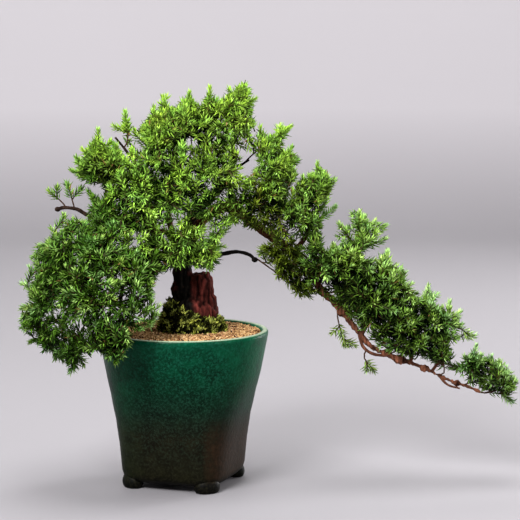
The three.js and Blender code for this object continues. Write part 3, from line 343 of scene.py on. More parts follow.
STEM_TAPER = 0.45
FILL_AGE = 0.85
UPWARDS = np.array([0.0, 0.0, 1.0])

# Seeds of the random draws
FILL_SEED = 7
SPRAY_SEED = 100
SOIL_SEED = 11
MOSS_SEED = 23

# Room for the foliage, and the tips that fill it
REACH_MARGIN = 1.2
POT_MARGIN = 1.5
FILL_REACH = 48.0
FILL_TRIES = 90000
FILL_SPACING = 6.1
FILL_SCATTER = 2.5
OWN_SHARE = 3
BUD_REACH = 4.3
LONGEST_OUTSIDE = 8.0

# Daylight in the foliage, painted into the needles' colours as light and shade: cells, and rings of
# directions with their elevation, count and weight
LIGHT_CELL = 3.0
LIGHT_STEPS = 9
LIGHT_FROM = [
    (math.radians(90), 1, 1.5), (math.radians(50), 6, 3.0), (math.radians(12), 8, 3.2),
    (math.radians(-25), 6, 0.3),
]
LIGHT_LOSS = 0.28
LIGHT_RANGE = (14, 92)
# Painted shade on the outermost tips high up, which are backlit: the light above which it sets in, its
# strength, and the heights over which it grows
BACKLIT_ABOVE = 0.68
BACKLIT_SHADE = 1.6
BACKLIT_HEIGHTS = (190, 290)

# Needle colours of each region: old, mature and young. The old colour is also the painted shade that the
# daylight gives to needles deep in the foliage, and the centre's colours are paler to paint light on it
# where the canopy shades it.
FOLIAGE_COLOURS = {
    "crown": ((0.003, 0.015, 0.001), (0.32, 0.53, 0.06), (0.78, 0.96, 0.40)),
    "right": ((0.002, 0.011, 0.001), (0.25, 0.43, 0.05), (0.66, 0.88, 0.32)),
    "under": ((0.004, 0.014, 0.001), (0.20, 0.27, 0.02), (0.52, 0.64, 0.15)),
    "centre": ((0.005, 0.022, 0.001), (0.43, 0.73, 0.085), (0.82, 0.97, 0.42)),
    "left": ((0.001, 0.004, 0.001), (0.125, 0.27, 0.022), (0.66, 0.88, 0.26)),
    "back": ((0.002, 0.010, 0.001), (0.12, 0.26, 0.022), (0.42, 0.65, 0.19)),
}

# Lamps, in metres and watts: place, target, size and power
PLANT_MIDDLE = (0.0, 0.0, 0.2)
LAMPS = {
    "key": ((-0.9, -1.5, 1.6), PLANT_MIDDLE, (0.9, 0.9), 101),
    "fill": ((1.9, -1.3, 0.9), PLANT_MIDDLE, (1.0, 1.6), 26),
    "top": ((0.1, 0.1, 2.1), PLANT_MIDDLE, (1.2, 1.2), 62),
    "edge": ((1.5, 1.2, 0.6), PLANT_MIDDLE, (0.5, 1.2), 36),
    "backdrop": ((0.0, 1.7, 1.9), (0.0, 2.6, 0.1), (2.4, 0.8), 46),
}
WORLD_COLOUR = (1.0, 0.98, 0.96, 1)
WORLD_STRENGTH = 0.3

# Stage, in metres
STAGE_RADIUS = 3.4
STAGE_BEND = 1.1
STAGE_TOP = 1.5
STAGE_SIDES = 64
BEND_STEPS = 12

# Outline of the foliage as seen from the front: x and z of its turns, clockwise from the left end.
# Single shoots stand out of it where a spray has a tip there.
OUTLINE = [
    (-146, 150), (-140, 158), (-132, 157), (-138, 166), (-137, 176), (-132, 180), (-130, 187), (-133, 191),
    (-131, 203), (-125, 210), (-116, 223), (-108, 222), (-102, 235), (-98, 238), (-93, 234), (-84, 236),
    (-84, 250), (-80, 258), (-76, 253), (-70, 252), (-68, 262), (-79, 266), (-95, 272), (-96, 277),
    (-91, 279), (-95, 286), (-88, 287), (-85, 298), (-80, 304), (-75, 310), (-71, 303), (-64, 293),
    (-58, 299), (-53, 295), (-48, 286), (-46, 296), (-50, 301), (-52, 307), (-58, 314), (-53, 317),
    (-50, 328), (-46, 318), (-46, 308), (-44, 299), (-41, 293), (-36, 294), (-33, 298), (-34, 305),
    (-41, 311), (-38, 316), (-32, 321), (-27, 326), (-25, 332), (-22, 328), (-18, 340), (-14, 331),
    (-8, 334), (-3, 332), (-2, 340), (8, 344), (11, 338), (13, 332), (18, 333), (19, 340), (23, 349),
    (28, 344), (30, 336), (34, 341), (38, 340), (40, 348), (45, 343), (47, 352), (57, 356), (60, 350),
    (60, 341), (64, 340), (62, 330), (63, 320), (61, 313), (60, 308), (62, 303), (64, 306), (66, 313),
    (70, 312), (72, 307), (77, 311), (81, 308), (85, 316), (92, 316), (95, 313), (91, 307), (88, 301),
    (86, 294), (91, 296), (96, 296), (103, 288), (98, 283), (99, 276), (96, 270), (93, 264), (92, 251),
    (97, 249), (101, 253), (98, 264), (102, 270), (110, 271), (113, 277), (118, 283), (124, 280),
    (128, 274), (134, 268), (134, 262), (130, 258), (127, 249), (120, 238), (125, 228), (123, 220),
    (121, 213), (123, 208), (128, 205), (133, 212), (137, 208), (137, 214), (141, 216), (146, 212),
    (143, 220), (136, 224), (137, 230), (142, 230), (146, 225), (149, 216), (152, 222), (147, 229),
    (144, 236), (147, 243), (155, 242), (162, 235), (168, 235), (180, 228), (178, 222), (170, 218),
    (164, 212), (159, 208), (157, 202), (160, 199), (169, 199), (173, 204), (178, 206), (183, 201),
    (183, 196), (195, 192), (197, 186), (192, 180), (200, 179), (207, 166), (210, 163), (213, 170),
    (216, 175), (223, 169), (221, 162), (229, 156), (230, 150), (233, 160), (236, 160), (238, 152),
    (246, 149), (244, 140), (240, 134), (256, 134), (257, 131), (250, 126), (234, 125), (235, 120),
    (240, 119), (240, 112), (235, 108), (247, 107), (251, 113), (255, 119), (260, 121), (262, 113),
    (272, 111), (280, 112), (292, 100), (298, 92), (298, 84), (290, 78), (272, 76), (262, 82), (248, 85),
    (246, 95), (232, 102), (216, 104), (212, 108), (206, 112), (195, 110), (188, 115), (180, 113),
    (170, 119), (163, 127), (158, 133), (151, 142), (145, 149), (138, 156), (132, 162), (120, 168),
    (110, 163), (98, 172), (92, 175), (82, 184), (80, 192), (76, 196), (64, 200), (62, 208), (68, 212),
    (78, 215), (80, 219), (68, 224), (62, 227), (45, 228), (38, 225), (35, 219), (30, 214), (36, 203),
    (28, 197), (27, 190), (25, 186), (8, 192), (-10, 190), (-17, 188), (-22, 184), (-25, 178), (-24, 162),
    (-20, 158), (-19, 150), (-27, 138), (-36, 139), (-44, 146), (-48, 128), (-51, 115), (-52, 101),
    (-58, 108), (-62, 115), (-66, 105), (-76, 117), (-83, 112), (-90, 115), (-95, 98), (-103, 98),
    (-107, 108), (-119, 117), (-132, 124), (-128, 132), (-138, 128), (-146, 138),
]

# Places on the limbs that fill-in shoots also grow to
FILL_ANCHORS = [
    (146, 158, 0), (152, 150, -4), (163, 141, -4), (151, 146, 8), (172, 134, 0), (215, 108, 4),
    (236, 102, 2), (246, 99, 0), (256, 96, -2), (268, 92, 0), (262, 88, 6), (280, 84, 0), (250, 93, -6),
]

# Gaps that show in the foliage from the front: x and z of the middle, and half sizes
WINDOWS = [
    (58, 286, 8, 5), (55, 277, 5, 4), (8, 302, 6, 3), (40, 243, 6, 3), (13, 231, 8, 4), (-42, 213, 3, 3),
    (-10, 228, 6, 4), (106, 213, 3, 4),
]


# Shared helpers


def placed(points):
    """Points of the plant in the row's frame, in metres."""
    return (np.asarray(points, float) + POT_AXIS) * MM


def seen_from_front(place):
    """The point that a row of the tables stands for."""
    x, z, depth = place
    return EYE + (np.array([x, 0.0, z]) - EYE) * (1 + depth / -EYE[1])


def from_front(points):
    """The x and z at which points are seen from the front."""
    from_eye = points - EYE
    seen = EYE + from_eye * (-EYE[1] / from_eye[:, 1:2])
    return seen[:, [0, 2]]


def unit(vectors):
    return vectors / np.maximum(np.linalg.norm(vectors, axis=-1, keepdims=True), 1e-9)


def around(count):
    """Evenly spaced angles of a full turn."""
    return np.arange(count) * 2 * math.pi / count


def ring(radius, angles, height):
    """Points round an upright axis."""
    return np.stack([radius * np.cos(angles), radius * np.sin(angles), height + 0 * angles], axis=1)


def share(start, end, values):
    """0 to 1 for values between start and end, and no less or more outside them."""
    return np.clip((values - start) / (end - start), 0, 1)


def lengths(path):
    """The distance along a path of each of its points."""
    steps = np.linalg.norm(np.diff(path, axis=0), axis=1)
    return np.concatenate([[0.0], np.cumsum(steps)])


def read_off(path, places, at):
    """Values of a path's points, read off at places along it."""
    return np.stack([np.interp(at, places, path[:, axis]) for axis in range(3)], axis=1)


def even(path, step):
    """A path with its points moved to even distances along it."""
    along = lengths(path)
    count = max(2, round(along[-1] / step) + 1)
    return read_off(path, along, np.linspace(0, along[-1], count))


def smooth_path(points, step):
    """A Catmull-Rom path through points, cut into even steps."""
    points = np.asarray(points, float)
    ends = [2 * points[0] - points[1], *points, 2 * points[-1] - points[-2]]
    t = np.linspace(0, 1, 17)[:, None]
    pieces = []
    for a, b, c, d in zip(ends, ends[1:], ends[2:], ends[3:]):
        bend = (2 * a - 5 * b + 4 * c - d) * t ** 2
        curve = 2 * b + (c - a) * t + bend + (3 * b - a - 3 * c + d) * t ** 3
        pieces.append(curve[:-1] / 2)
    return even(np.concatenate([*pieces, points[-1:]]), step)


def bent(start, heading, tip, arrival, step):
    """A path that leaves start in one heading and comes to a tip in another."""
    pull = np.linalg.norm(tip - start)
    first = start + heading * pull * PATH_PULL
    second = tip - arrival * pull * PATH_PULL
    t = np.linspace(0, 1, 17)[:, None]
    early = (1 - t) ** 3 * start + 3 * t * (1 - t) ** 2 * first
    return even(early + 3 * t ** 2 * (1 - t) * second + t ** 3 * tip, step)


def tangents(path):
    return unit(np.gradient(path, axis=0))


def sections(path):
    """Two directions across a path, at right angles to it and to each other."""
    along = tangents(path)
    side = unit(np.cross(along, np.array([0.31, 0.9, 0.2])))
    return side, np.cross(along, side)


def colour_guide(youth, shade, wood):
    """The guide of points: their youth, shade and woodiness in red, green and blue. The needles' youth
    also carries the daylight painted into it as light and shade.
    """
    return np.stack(np.broadcast_arrays(youth, shade, wood, 1.0), axis=-1)


def linked(name, data):
    """A new object of the scene with some data."""
    item = bpy.data.objects.new(name, data)
    bpy.context.scene.collection.objects.link(item)
    return item


class Surface:
    """Points, triangles and a colour guide for each point, gathered into one mesh."""

    def __init__(self):
        self.points = []
        self.triangles = []
        self.guides = []
        self.count = 0

    def add(self, points, triangles, guide=(0, 0, 0, 1)):
        """guide is one value of four numbers, or one for each point."""
        self.points.append(np.asarray(points, float))
        self.triangles.append(np.asarray(triangles, int) + self.count)
        self.guides.append(np.broadcast_to(np.asarray(guide, float), (len(points), 4)))
        self.count += len(points)

    def piece(self, name, material, smooth=False):
        mesh = bpy.data.meshes.new(name)
        points = placed(np.concatenate(self.points)).astype(np.float32)
        triangles = np.concatenate(self.triangles).astype(np.int32)
        mesh.vertices.add(len(points))
        mesh.vertices.foreach_set("co", points.ravel())
        mesh.loops.add(triangles.size)
        mesh.loops.foreach_set("vertex_index", triangles.ravel())
        mesh.polygons.add(len(triangles))
        mesh.polygons.foreach_set("loop_start", np.arange(0, triangles.size, 3, dtype=np.int32))
        mesh.polygons.foreach_set("use_smooth", np.full(len(triangles), smooth))
        guide = mesh.color_attributes.new("guide", "FLOAT_COLOR", "POINT")
        guide.data.foreach_set("color", np.concatenate(self.guides).astype(np.float32).ravel())
        mesh.update()
        mesh.validate()
        mesh.materials.append(material)
        return linked(name, mesh)


def band(lower, upper, sides):
    """Triangles between two rings of points, facing out when the second lies further along."""
    i = np.arange(sides)
    j = (i + 1) % sides
    first = np.stack([lower + i, lower + j, upper + j], axis=1)
    second = np.stack([lower + i, upper + j, upper + i], axis=1)
    return np.concatenate([first, second])


def loft(rings, closed=False):
    """Points and triangles of a solid through rings. A closed one comes back to its first ring."""
    sides = len(rings[0])
    last = (len(rings) - 1) * sides
    points = np.concatenate(rings)
    triangles = [band(start, start + sides, sides) for start in range(0, last, sides)]
    if closed:
        return points, np.concatenate([*triangles, band(last, 0, sides)])
    i = np.arange(sides)
    j = (i + 1) % sides
    first_middle = np.full(sides, len(points))
    points = np.concatenate([points, [rings[0].mean(axis=0)], [rings[-1].mean(axis=0)]])
    triangles.append(np.stack([first_middle, j, i], axis=1))
    triangles.append(np.stack([first_middle + 1, last + i, last + j], axis=1))
    return points, np.concatenate(triangles)


def tube(path, radii, sides):
    side, other = sections(path)
    angles = around(sides)[None, :, None]
    out = np.cos(angles) * side[:, None] + np.sin(angles) * other[:, None]
    return loft(list(path[:, None] + out * radii[:, None, None]))


def rough(points, scale, size, seed):
    """A height for each point, smooth over the scale, which may differ along x, y and z."""
    places = np.asarray(points) / scale + np.array([seed * 7.1, seed * 3.7, seed * 1.3])
    return size * np.array([noise.noise(Vector(place)) for place in places])


# Room for the foliage


def in_pot(points):
    """True for each point that lies in or close to the pot, the soil or the moss."""
    from_axis = np.hypot(points[:, 0], points[:, 1])
    in_rim = (points[:, 2] < POT_HEIGHT + POT_MARGIN) & (from_axis < RIM_RADIUS + POT_MARGIN)
    return in_rim | ((points[:, 2] < BASE_TOP) & (from_axis < MOSS_CENTRE[0] + MOSS_HALF[0] + 1))


def in_reach(points):
    """True for each point that lies well inside the box of the CAD model."""
    rows = placed(points)
    low = np.array(cad_box[0]) + REACH_MARGIN * MM
    high = np.array(cad_box[1]) - REACH_MARGIN * MM
    return np.all((rows > low) & (rows < high), axis=1)


def in_outline(points):
    """True for each point that is seen inside the outline of the foliage and in none of its gaps."""
    x, z = from_front(points).T
    corners = np.array(OUTLINE, float)
    inside = np.zeros(len(points), bool)
    for (x0, z0), (x1, z1) in zip(corners, np.roll(corners, -1, axis=0)):
        if z0 != z1:
            inside ^= ((z0 > z) != (z1 > z)) & (x < (x1 - x0) * (z - z0) / (z1 - z0) + x0)
    for middle_x, middle_z, half_width, half_height in WINDOWS:
        inside &= ((x - middle_x) / half_width) ** 2 + ((z - middle_z) / half_height) ** 2 > 1
    return inside


# Shoots: each spray has stems to its tips, fill-in stems between them, and side shoots on all


class Shoot:
    """A needled shoot: its path, how far along it the needles start, and how young it is."""

    def __init__(self, path, bare, youth, radius):
        self.path = path
        self.bare = bare
        self.youth = youth
        self.radius = radius
        self.length = lengths(path)[-1]


def nearest_on_limbs(place):
    """The point of a limb that a spray grows from: a little below the one nearest to its root."""
    nearest = math.inf
    for path in LIMB_PATHS.values():
        distances = np.linalg.norm(path - place, axis=1)
        index = int(distances.argmin())
        if distances[index] < nearest:
            nearest = distances[index]
            start = path[max(0, index - round(0.35 * nearest))]
    return start


class Stems:
    """The stems of a spray, and the free places along them that a new stem may leave from."""

    def __init__(self, root, first):
        self.root = root
        self.paths = []
        self.places = np.zeros((0, 3))
        self.headings = np.zeros((0, 3))
        self.grow(first)

    def grow(self, path):
        self.paths.append(path)
        inner = slice(FREE_EVERY, len(path) - FREE_EVERY, FREE_EVERY)
        self.places = np.concatenate([self.places, path[inner]])
        self.headings = np.concatenate([self.headings, tangents(path)[inner]])

    def branch_to(self, tip, draw):
        """Grows a stem to a tip from the free place that needs the shortest and straightest one."""
        towards = tip - self.places
        reach = np.linalg.norm(towards, axis=1)
        turn = 1 - np.sum(towards * self.headings, axis=1) / np.maximum(reach, 1e-6)
        cost = reach * (1 + TURN_COST * turn ** 2) + STRAIGHT_COST * (turn < 0.1)
        cost[reach < CLOSEST_FORK] = math.inf
        best = int(cost.argmin())
        if cost[best] == math.inf:
            return False
        heading = unit(self.headings[best] * 0.4 + towards[best] / reach[best] * 0.6)
        arrival = unit(unit(tip - self.root) + UPWARDS * TIP_LIFT + draw.normal(0, 0.22, 3))
        stem = bent(self.places[best], heading, tip, arrival, STEM_STEP)
        self.places = np.delete(self.places, best, axis=0)
        self.headings = np.delete(self.headings, best, axis=0)
        self.grow(stem)
        return True


def tips_near(tips, owners, number):
    """The tips near one of them, with those of its own spray listed several times."""
    close = np.flatnonzero(np.linalg.norm(tips - tips[number], axis=1) < FILL_REACH)
    own = close[owners[close] == owners[number]]
    return np.concatenate([close, np.tile(own, OWN_SHARE)])


def fill_tips(sprays, draw):
    """Tips that fill the foliage evenly between the tips of the sprays, listed for each spray."""
    tips = np.array([tip for _, spray in sprays for tip in spray])
    owners = np.array([number for number, (_, spray) in enumerate(sprays) for _ in spray])
    anchors = np.array([seen_from_front(anchor) for anchor in FILL_ANCHORS])
    nearest = [np.sum((tips - anchor) ** 2, axis=1).argmin() for anchor in anchors]
    tips = np.concatenate([tips, anchors])
    owners = np.concatenate([owners, owners[nearest]])
    near = [tips_near(tips, owners, number) for number in range(len(tips))]
    first = draw.integers(len(tips), size=FILL_TRIES)
    chosen = np.array([[tip, *near[tip][draw.integers(len(near[tip]), size=3)]] for tip in first])
    weights = draw.dirichlet((1.0, 1.0, 1.0, 1.0), FILL_TRIES)
    tried = np.einsum("nk,nkd->nd", weights, tips[chosen])
    tried = tried + draw.normal(0, FILL_SCATTER, (FILL_TRIES, 3))
    tried = tried[in_reach(tried) & ~in_pot(tried) & in_outline(tried)]
    taken = np.full((len(tips) + len(tried), 3), math.inf)
    taken[:len(tips)] = tips
    count = len(tips)
    filled = [[] for _ in sprays]
    for place in tried:
        if np.min(np.sum((taken[:count] - place) ** 2, axis=1)) >= FILL_SPACING ** 2:
            taken[count] = place
            count += 1
            filled[owners[np.sum((tips - place) ** 2, axis=1).argmin()]].append(place)
    return filled


def side_shoots(parent, draw):
    """Shoots that leave a stem all round, shorter and shorter towards its tip."""
    path = parent.path
    along = tangents(path)
    side, other = sections(path)
    places = lengths(path)
    lowest = parent.bare * 0.75
    azimuth = draw.uniform(0, 2 * math.pi)
    at = max(lowest, SIDE_STEP) + draw.uniform(0, SIDE_STEP)
    grown = []
    while at < parent.length - SHORTEST_SIDE * 0.6:
        index = int(np.searchsorted(places, at))
        part = (at - lowest) / (parent.length - lowest)
        length = (LONGEST_SIDE + (SHORTEST_SIDE - LONGEST_SIDE) * part) * draw.uniform(0.75, 1.15)
        angle = SIDE_ANGLE * draw.uniform(0.8, 1.15)
        out = math.cos(azimuth) * side[index] + math.sin(azimuth) * other[index]
        heading = math.cos(angle) * along[index] + math.sin(angle) * out
        arrival = unit(heading + along[index] * 0.45 + UPWARDS * 0.25)
        tip = path[index] + unit(heading + arrival) * length
        twig = bent(path[index], heading, tip, arrival, 1.0)
        grown.append(Shoot(twig, 1.2, parent.youth * 0.95 * draw.uniform(0.7, 1.0), SIDE_RADIUS))
        azimuth += SIDE_TURN + draw.uniform(-0.4, 0.4)
        at += SIDE_STEP * draw.uniform(0.8, 1.25)
    return grown


def trimmed(shoot, to_outline):
    """The shoot up to where it would leave its room, or None if little is left."""
    path = shoot.path
    free = in_reach(path) & ~in_pot(path)
    if to_outline:
        seen = in_outline(np.stack([path[0], *(path[1:] + tangents(path)[1:] * BUD_REACH)]))
        if not seen[0] and shoot.length > LONGEST_OUTSIDE:
            return None
        free &= seen | ~seen[0]
    if free.all():
        return shoot
    count = int(np.argmin(free))
    if count < FEWEST_POINTS:
        return None
    return Shoot(path[:count], min(shoot.bare, count - 3), shoot.youth, shoot.radius)


def grow_spray(root, tips, filled, draw):
    """All the shoots of a spray."""
    stems = Stems(root, smooth_path([nearest_on_limbs(root), root, tips[0]], STEM_STEP))
    ages = [1.0]
    for age, ends in ((1.0, tips[1:]), (FILL_AGE, filled)):
        for tip in sorted(ends, key=lambda end: np.linalg.norm(end - root)):
            if stems.branch_to(tip, draw):
                ages.append(age)
    shoots = []
    for number, (stem, age) in enumerate(zip(stems.paths, ages)):
        length = lengths(stem)[-1]
        needled = min(length * (OTHERS_NEEDLED if number else FIRST_NEEDLED), NEEDLED_LENGTH)
        shoots.append(Shoot(stem, length - needled, age, STEM_RADIUS))
    shoots += [twig for shoot in shoots for twig in side_shoots(shoot, draw)]
    grown = [trimmed(shoot, number >= len(tips)) for number, shoot in enumerate(shoots)]
    return [shoot for shoot in grown if shoot is not None]


# Foliage


def add_stem(surface, shoot):
    """The bark of a shoot: brown where it is bare, green under its needles."""
    path = shoot.path if len(shoot.path) < FEWEST_POINTS else even(shoot.path, BARK_STEP)
    places = lengths(path)
    sides = 5 if shoot.bare > 5 else 3
    points, triangles = tube(path, shoot.radius * (1.0 - STEM_TAPER * places / places[-1]), sides)
    wood = np.clip((shoot.bare + 4 - places) / 4, 0.12, 1)
    wood = np.concatenate([np.repeat(wood, sides), wood[[0, -1]]])
    surface.add(points, triangles, colour_guide(0.25, 0, wood))


def needles(shoot, step, draw):
    """Whorls of three needles, open at the base of a shoot and closed at its tip.

    Each row has a needle's base, apex, radius, youth and shade.
    """
    count = int((shoot.length - shoot.bare) / step)
    if count < 1:
        return np.zeros((0, 9))
    number = np.arange(count) + 1
    places = lengths(shoot.path)
    at = shoot.bare + number * step
    frames = (shoot.path, *sections(shoot.path), tangents(shoot.path))
    centre, side, other, along = (read_off(values, places, at) for values in frames)
    part = (number / count)[:, None]
    turn = draw.uniform(0, 2 * math.pi) + np.arange(count) * math.pi / 3
    azimuth = (turn[:, None] + around(3) + draw.normal(0, WHORL_SCATTER, (count, 3)))[..., None]
    angle = OPEN_ANGLE + (BUD_ANGLE - OPEN_ANGLE) * part ** 2
    angle = (angle + draw.normal(0, ANGLE_SCATTER, (count, 3)))[..., None]
    out = np.cos(azimuth) * side[:, None] + np.sin(azimuth) * other[:, None]
    direction = np.cos(angle) * along[:, None] + np.sin(angle) * out
    direction = unit(direction + UPWARDS * NEEDLE_LIFT).reshape(-1, 3)
    base = (centre[:, None] + out * 0.15).reshape(-1, 3)
    length = NEEDLE_LENGTH * draw.uniform(*LENGTH_RANGE, (count, 3)) * (1 - BUD_SHRINK * part ** 3)
    apex = base + direction * length.reshape(-1, 1)
    youth = shoot.youth * (0.6 + 0.4 * part) + draw.normal(0, 0.08, (count, 3))
    radius = NEEDLE_RADIUS * draw.uniform(*RADIUS_RANGE, 3 * count)
    shade = draw.uniform(0, 1, 3 * count)
    return np.column_stack([base, apex, radius, youth.ravel(), shade])[in_reach(apex) & ~in_pot(apex)]


class Daylight:
    """How much light from the sky and the sides reaches a place in the foliage, from 0 to 1. It is painted
    into the needles' colours as light and shade.
    """

    def __init__(self, places):
        edge = (LIGHT_STEPS + 2) * LIGHT_CELL
        self.low = places.min(axis=0) - edge
        shape = ((places.max(axis=0) + edge - self.low) / LIGHT_CELL).astype(int) + 1
        crowd = np.zeros(shape)
        np.add.at(crowd, self.cells(places), 1.0)
        for axis in range(3):
            crowd = (np.roll(crowd, 1, axis) + 2 * crowd + np.roll(crowd, -1, axis)) / 4
        self.light = np.zeros(shape)
        for elevation, count, weight in LIGHT_FROM:
            for k in range(count):
                turn = 2 * math.pi * (k + 0.5) / count
                level = math.cos(elevation)
                towards = np.array([level * math.cos(turn), level * math.sin(turn), math.sin(elevation)])
                self.light += weight / count * np.exp(-LIGHT_LOSS * self.crowding(crowd, towards))
        self.dark, self.bright = np.percentile(self.light[self.cells(places)], LIGHT_RANGE)

    def cells(self, places):
        return tuple(((places - self.low) / LIGHT_CELL).astype(int).T)

    @staticmethod
    def crowding(crowd, towards):
        """The needles between each cell and the light in a direction."""
        total = np.zeros_like(crowd)
        for step in range(1, LIGHT_STEPS + 1):
            total += np.roll(crowd, tuple(np.round(-towards * step).astype(int)), (0, 1, 2))
        return total

    def at(self, places):
        """The light, less again for the outermost tips high up: a painted shade for tips that are backlit.
        """
        light = share(self.dark, self.bright, self.light[self.cells(places)])
        return light - BACKLIT_SHADE * share(*BACKLIT_HEIGHTS, places[:, 2]) * np.maximum(light - BACKLIT_ABOVE, 0)


def awls(surface, base, apex, radius, youth, shade):
    """Slim pointed leaves, widest a third of the way up. youth has a value at base, girth and apex."""
    along = unit(apex - base)
    side = unit(np.cross(along, np.array([0.13, 0.07, 0.99])))
    other = np.cross(along, side)
    widest = base + (apex - base) * WIDEST
    girth = [
        widest + radius[:, None] * (math.cos(angle) * side + math.sin(angle) * other)
        for angle in math.pi / 2 + around(3)
    ]
    points = np.stack([base, *girth, apex], axis=1).reshape(-1, 3)
    triangles = (5 * np.arange(len(base))[:, None, None] + NEEDLE_FACES).reshape(-1, 3)
    at_base, at_girth, at_apex = np.clip(youth, 0, 1)
    youth = np.stack([at_base, at_girth, at_girth, at_girth, at_apex], axis=1)
    surface.add(points, triangles, colour_guide(youth, shade[:, None], 0).reshape(-1, 4))


def foliage(materials):
    """A piece for each spray, paler towards its tips, with light and shade painted in: paler where more
    daylight reaches, and darker deep inside and at the needles' bases.
    """
    names = []
    sprays = []
    for region, listed in SPRAYS.items():
        for number, (root, *tips) in enumerate(listed, 1):
            names.append((region, f"{region}_{number:02d}"))
            sprays.append((seen_from_front(root), [seen_from_front(tip) for tip in tips]))
    filled = fill_tips(sprays, np.random.default_rng(FILL_SEED))
    grown = []
    for seed, ((root, tips), more) in enumerate(zip(sprays, filled), SPRAY_SEED):
        draw = np.random.default_rng(seed)
        shoots = grow_spray(root, tips, more, draw)
        ends = np.array([shoot.path[-1] for shoot in shoots])
        steps = np.where(in_outline(ends), WHORL_STEP, LONE_WHORL_STEP)
        rows = np.concatenate([needles(shoot, step, draw) for shoot, step in zip(shoots, steps)])
        grown.append((shoots, rows))
    daylight = Daylight(np.concatenate([rows[:, 3:6] for _, rows in grown]))
    for (region, name), (shoots, rows) in zip(names, grown):
        surface = Surface()
        for shoot in shoots:
            add_stem(surface, shoot)
        base, apex = rows[:, 0:3], rows[:, 3:6]
        radius, youth, shade = rows[:, 6:].T
        # Painted light and shade: the daylight scales the youth of the guide, so needles deep in the
        # foliage take the dark old colour. Each needle's base gets a quarter of it, as painted shade
        # between the needles.
        lit = daylight.at(apex)
        youth = [daylight.at(base) * 0.25 * youth, lit * (0.3 + 0.6 * youth), lit * (0.35 + 0.65 * youth)]
        awls(surface, base, apex, radius, youth, shade)
        piece = surface.piece(f"foliage_{name}", materials[region])
        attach(piece, "root")
        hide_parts(f"spray_{name}")


# Materials


class Shader:
    """A small builder of node materials."""

    def __init__(self, name, roughness, specular=0.5):
        self.material = bpy.data.materials.new(name)
        self.material.use_nodes = True
        self.nodes = self.material.node_tree.nodes
        self.surface = self.nodes["Principled BSDF"]
        self.surface.inputs["Roughness"].default_value = roughness
        self.surface.inputs["Specular IOR Level"].default_value = specular
        self.coordinates = self.nodes.new("ShaderNodeTexCoord").outputs["Object"]

    def node(self, kind, settings=None, **inputs):
        node = self.nodes.new(kind)
        for key, value in (settings or {}).items():
            setattr(node, key, value)
        for key, value in inputs.items():
            self.put(node.inputs[key.replace("_", " ")], value)
        return node

    def put(self, socket, value):
        if isinstance(value, bpy.types.NodeSocket):
            self.material.node_tree.links.new(value, socket)
        else:
            socket.default_value = value

    def result(self, kind, operation, first, second, **settings):
        """The outputs of an operation on two values."""
        node = self.node(kind, {"operation": operation, **settings})
        self.put(node.inputs[0], first)
        self.put(node.inputs[1], second)
        return node.outputs

    def noise(self, scale, detail=3.0, roughness=0.5, upright=1.0):
        """Noise over the surface, of so many features a metre, and upright times as many upwards."""
        place = self.coordinates
        if upright != 1.0:
            mapping = self.node("ShaderNodeMapping", Vector=place, Scale=(1.0, 1.0, upright))
            place = mapping.outputs["Vector"]
        inputs = {"Vector": place, "Scale": scale, "Detail": detail, "Roughness": roughness}
        return self.node("ShaderNodeTexNoise", **inputs).outputs["Fac"]

    def ramp(self, value, *stops):
        """Colours or grey values at places from 0 to 1."""
        node = self.node("ShaderNodeValToRGB", Fac=value)
        ramp = node.color_ramp
        while len(ramp.elements) < len(stops):
            ramp.elements.new(0.5)
        for element, (place, colour) in zip(ramp.elements, stops):
            element.position = place
            element.color = (*colour, 1) if isinstance(colour, tuple) else (colour, colour, colour, 1)
        return node.outputs["Color"]

    def mix(self, factor, first, second, kind="MIX"):
        node = self.node("ShaderNodeMix", {"data_type": "RGBA", "blend_type": kind})
        for index, value in ((0, factor), (6, first), (7, second)):
            self.put(node.inputs[index], (*value, 1) if isinstance(value, tuple) else value)
        return node.outputs[2]

    def tinted(self, first, *others):
        """The product of colours."""
        for other in others:
            first = self.mix(1.0, first, other, "MULTIPLY")
        return first

    def math(self, operation, first, second):
        clamp = operation != "MULTIPLY"
        return self.result("ShaderNodeMath", operation, first, second, use_clamp=clamp)["Value"]

    def guide(self):
        """The red, green and blue of the colour guide."""
        attribute = self.node("ShaderNodeAttribute", {"attribute_name": "guide"})
        return self.node("ShaderNodeSeparateColor", Color=attribute.outputs["Color"]).outputs

    def share(self, value, start, end):
        """0 to 1 for values between start and end."""
        return self.node("ShaderNodeMapRange", Value=value, From_Min=start, From_Max=end).outputs["Result"]

    def between_heights(self, low, high):
        """0 below one height in metres, 1 above another."""
        split = self.node("ShaderNodeSeparateXYZ", Vector=self.coordinates)
        return self.share(split.outputs["Z"], low, high)

    def facing_up(self, *stops):
        """Grey values for faces by how far they face up, from 0 for down to 1 for up: painted light from
        above and shade below.
        """
        normal = self.node("ShaderNodeNewGeometry").outputs["Normal"]
        split = self.node("ShaderNodeSeparateXYZ", Vector=normal)
        return self.ramp(self.share(split.outputs["Z"], -1.0, 1.0), *stops)

    def side_of(self, direction, start, end):
        """0 to 1 between two distances in metres from the pot's axis, towards one side of the pot."""
        axis = tuple(POT_AXIS * MM)
        from_axis = self.result("ShaderNodeVectorMath", "SUBTRACT", self.coordinates, axis)["Vector"]
        along = self.result("ShaderNodeVectorMath", "DOT_PRODUCT", from_axis, direction)["Value"]
        return self.share(along, start, end)

    def bump(self, height, distance, strength):
        node = self.node("ShaderNodeBump", Height=height, Distance=distance, Strength=strength)
        self.put(self.surface.inputs["Normal"], node.outputs["Normal"])

    def colour(self, value):
        self.put(self.surface.inputs["Base Color"], value)
        return self.material


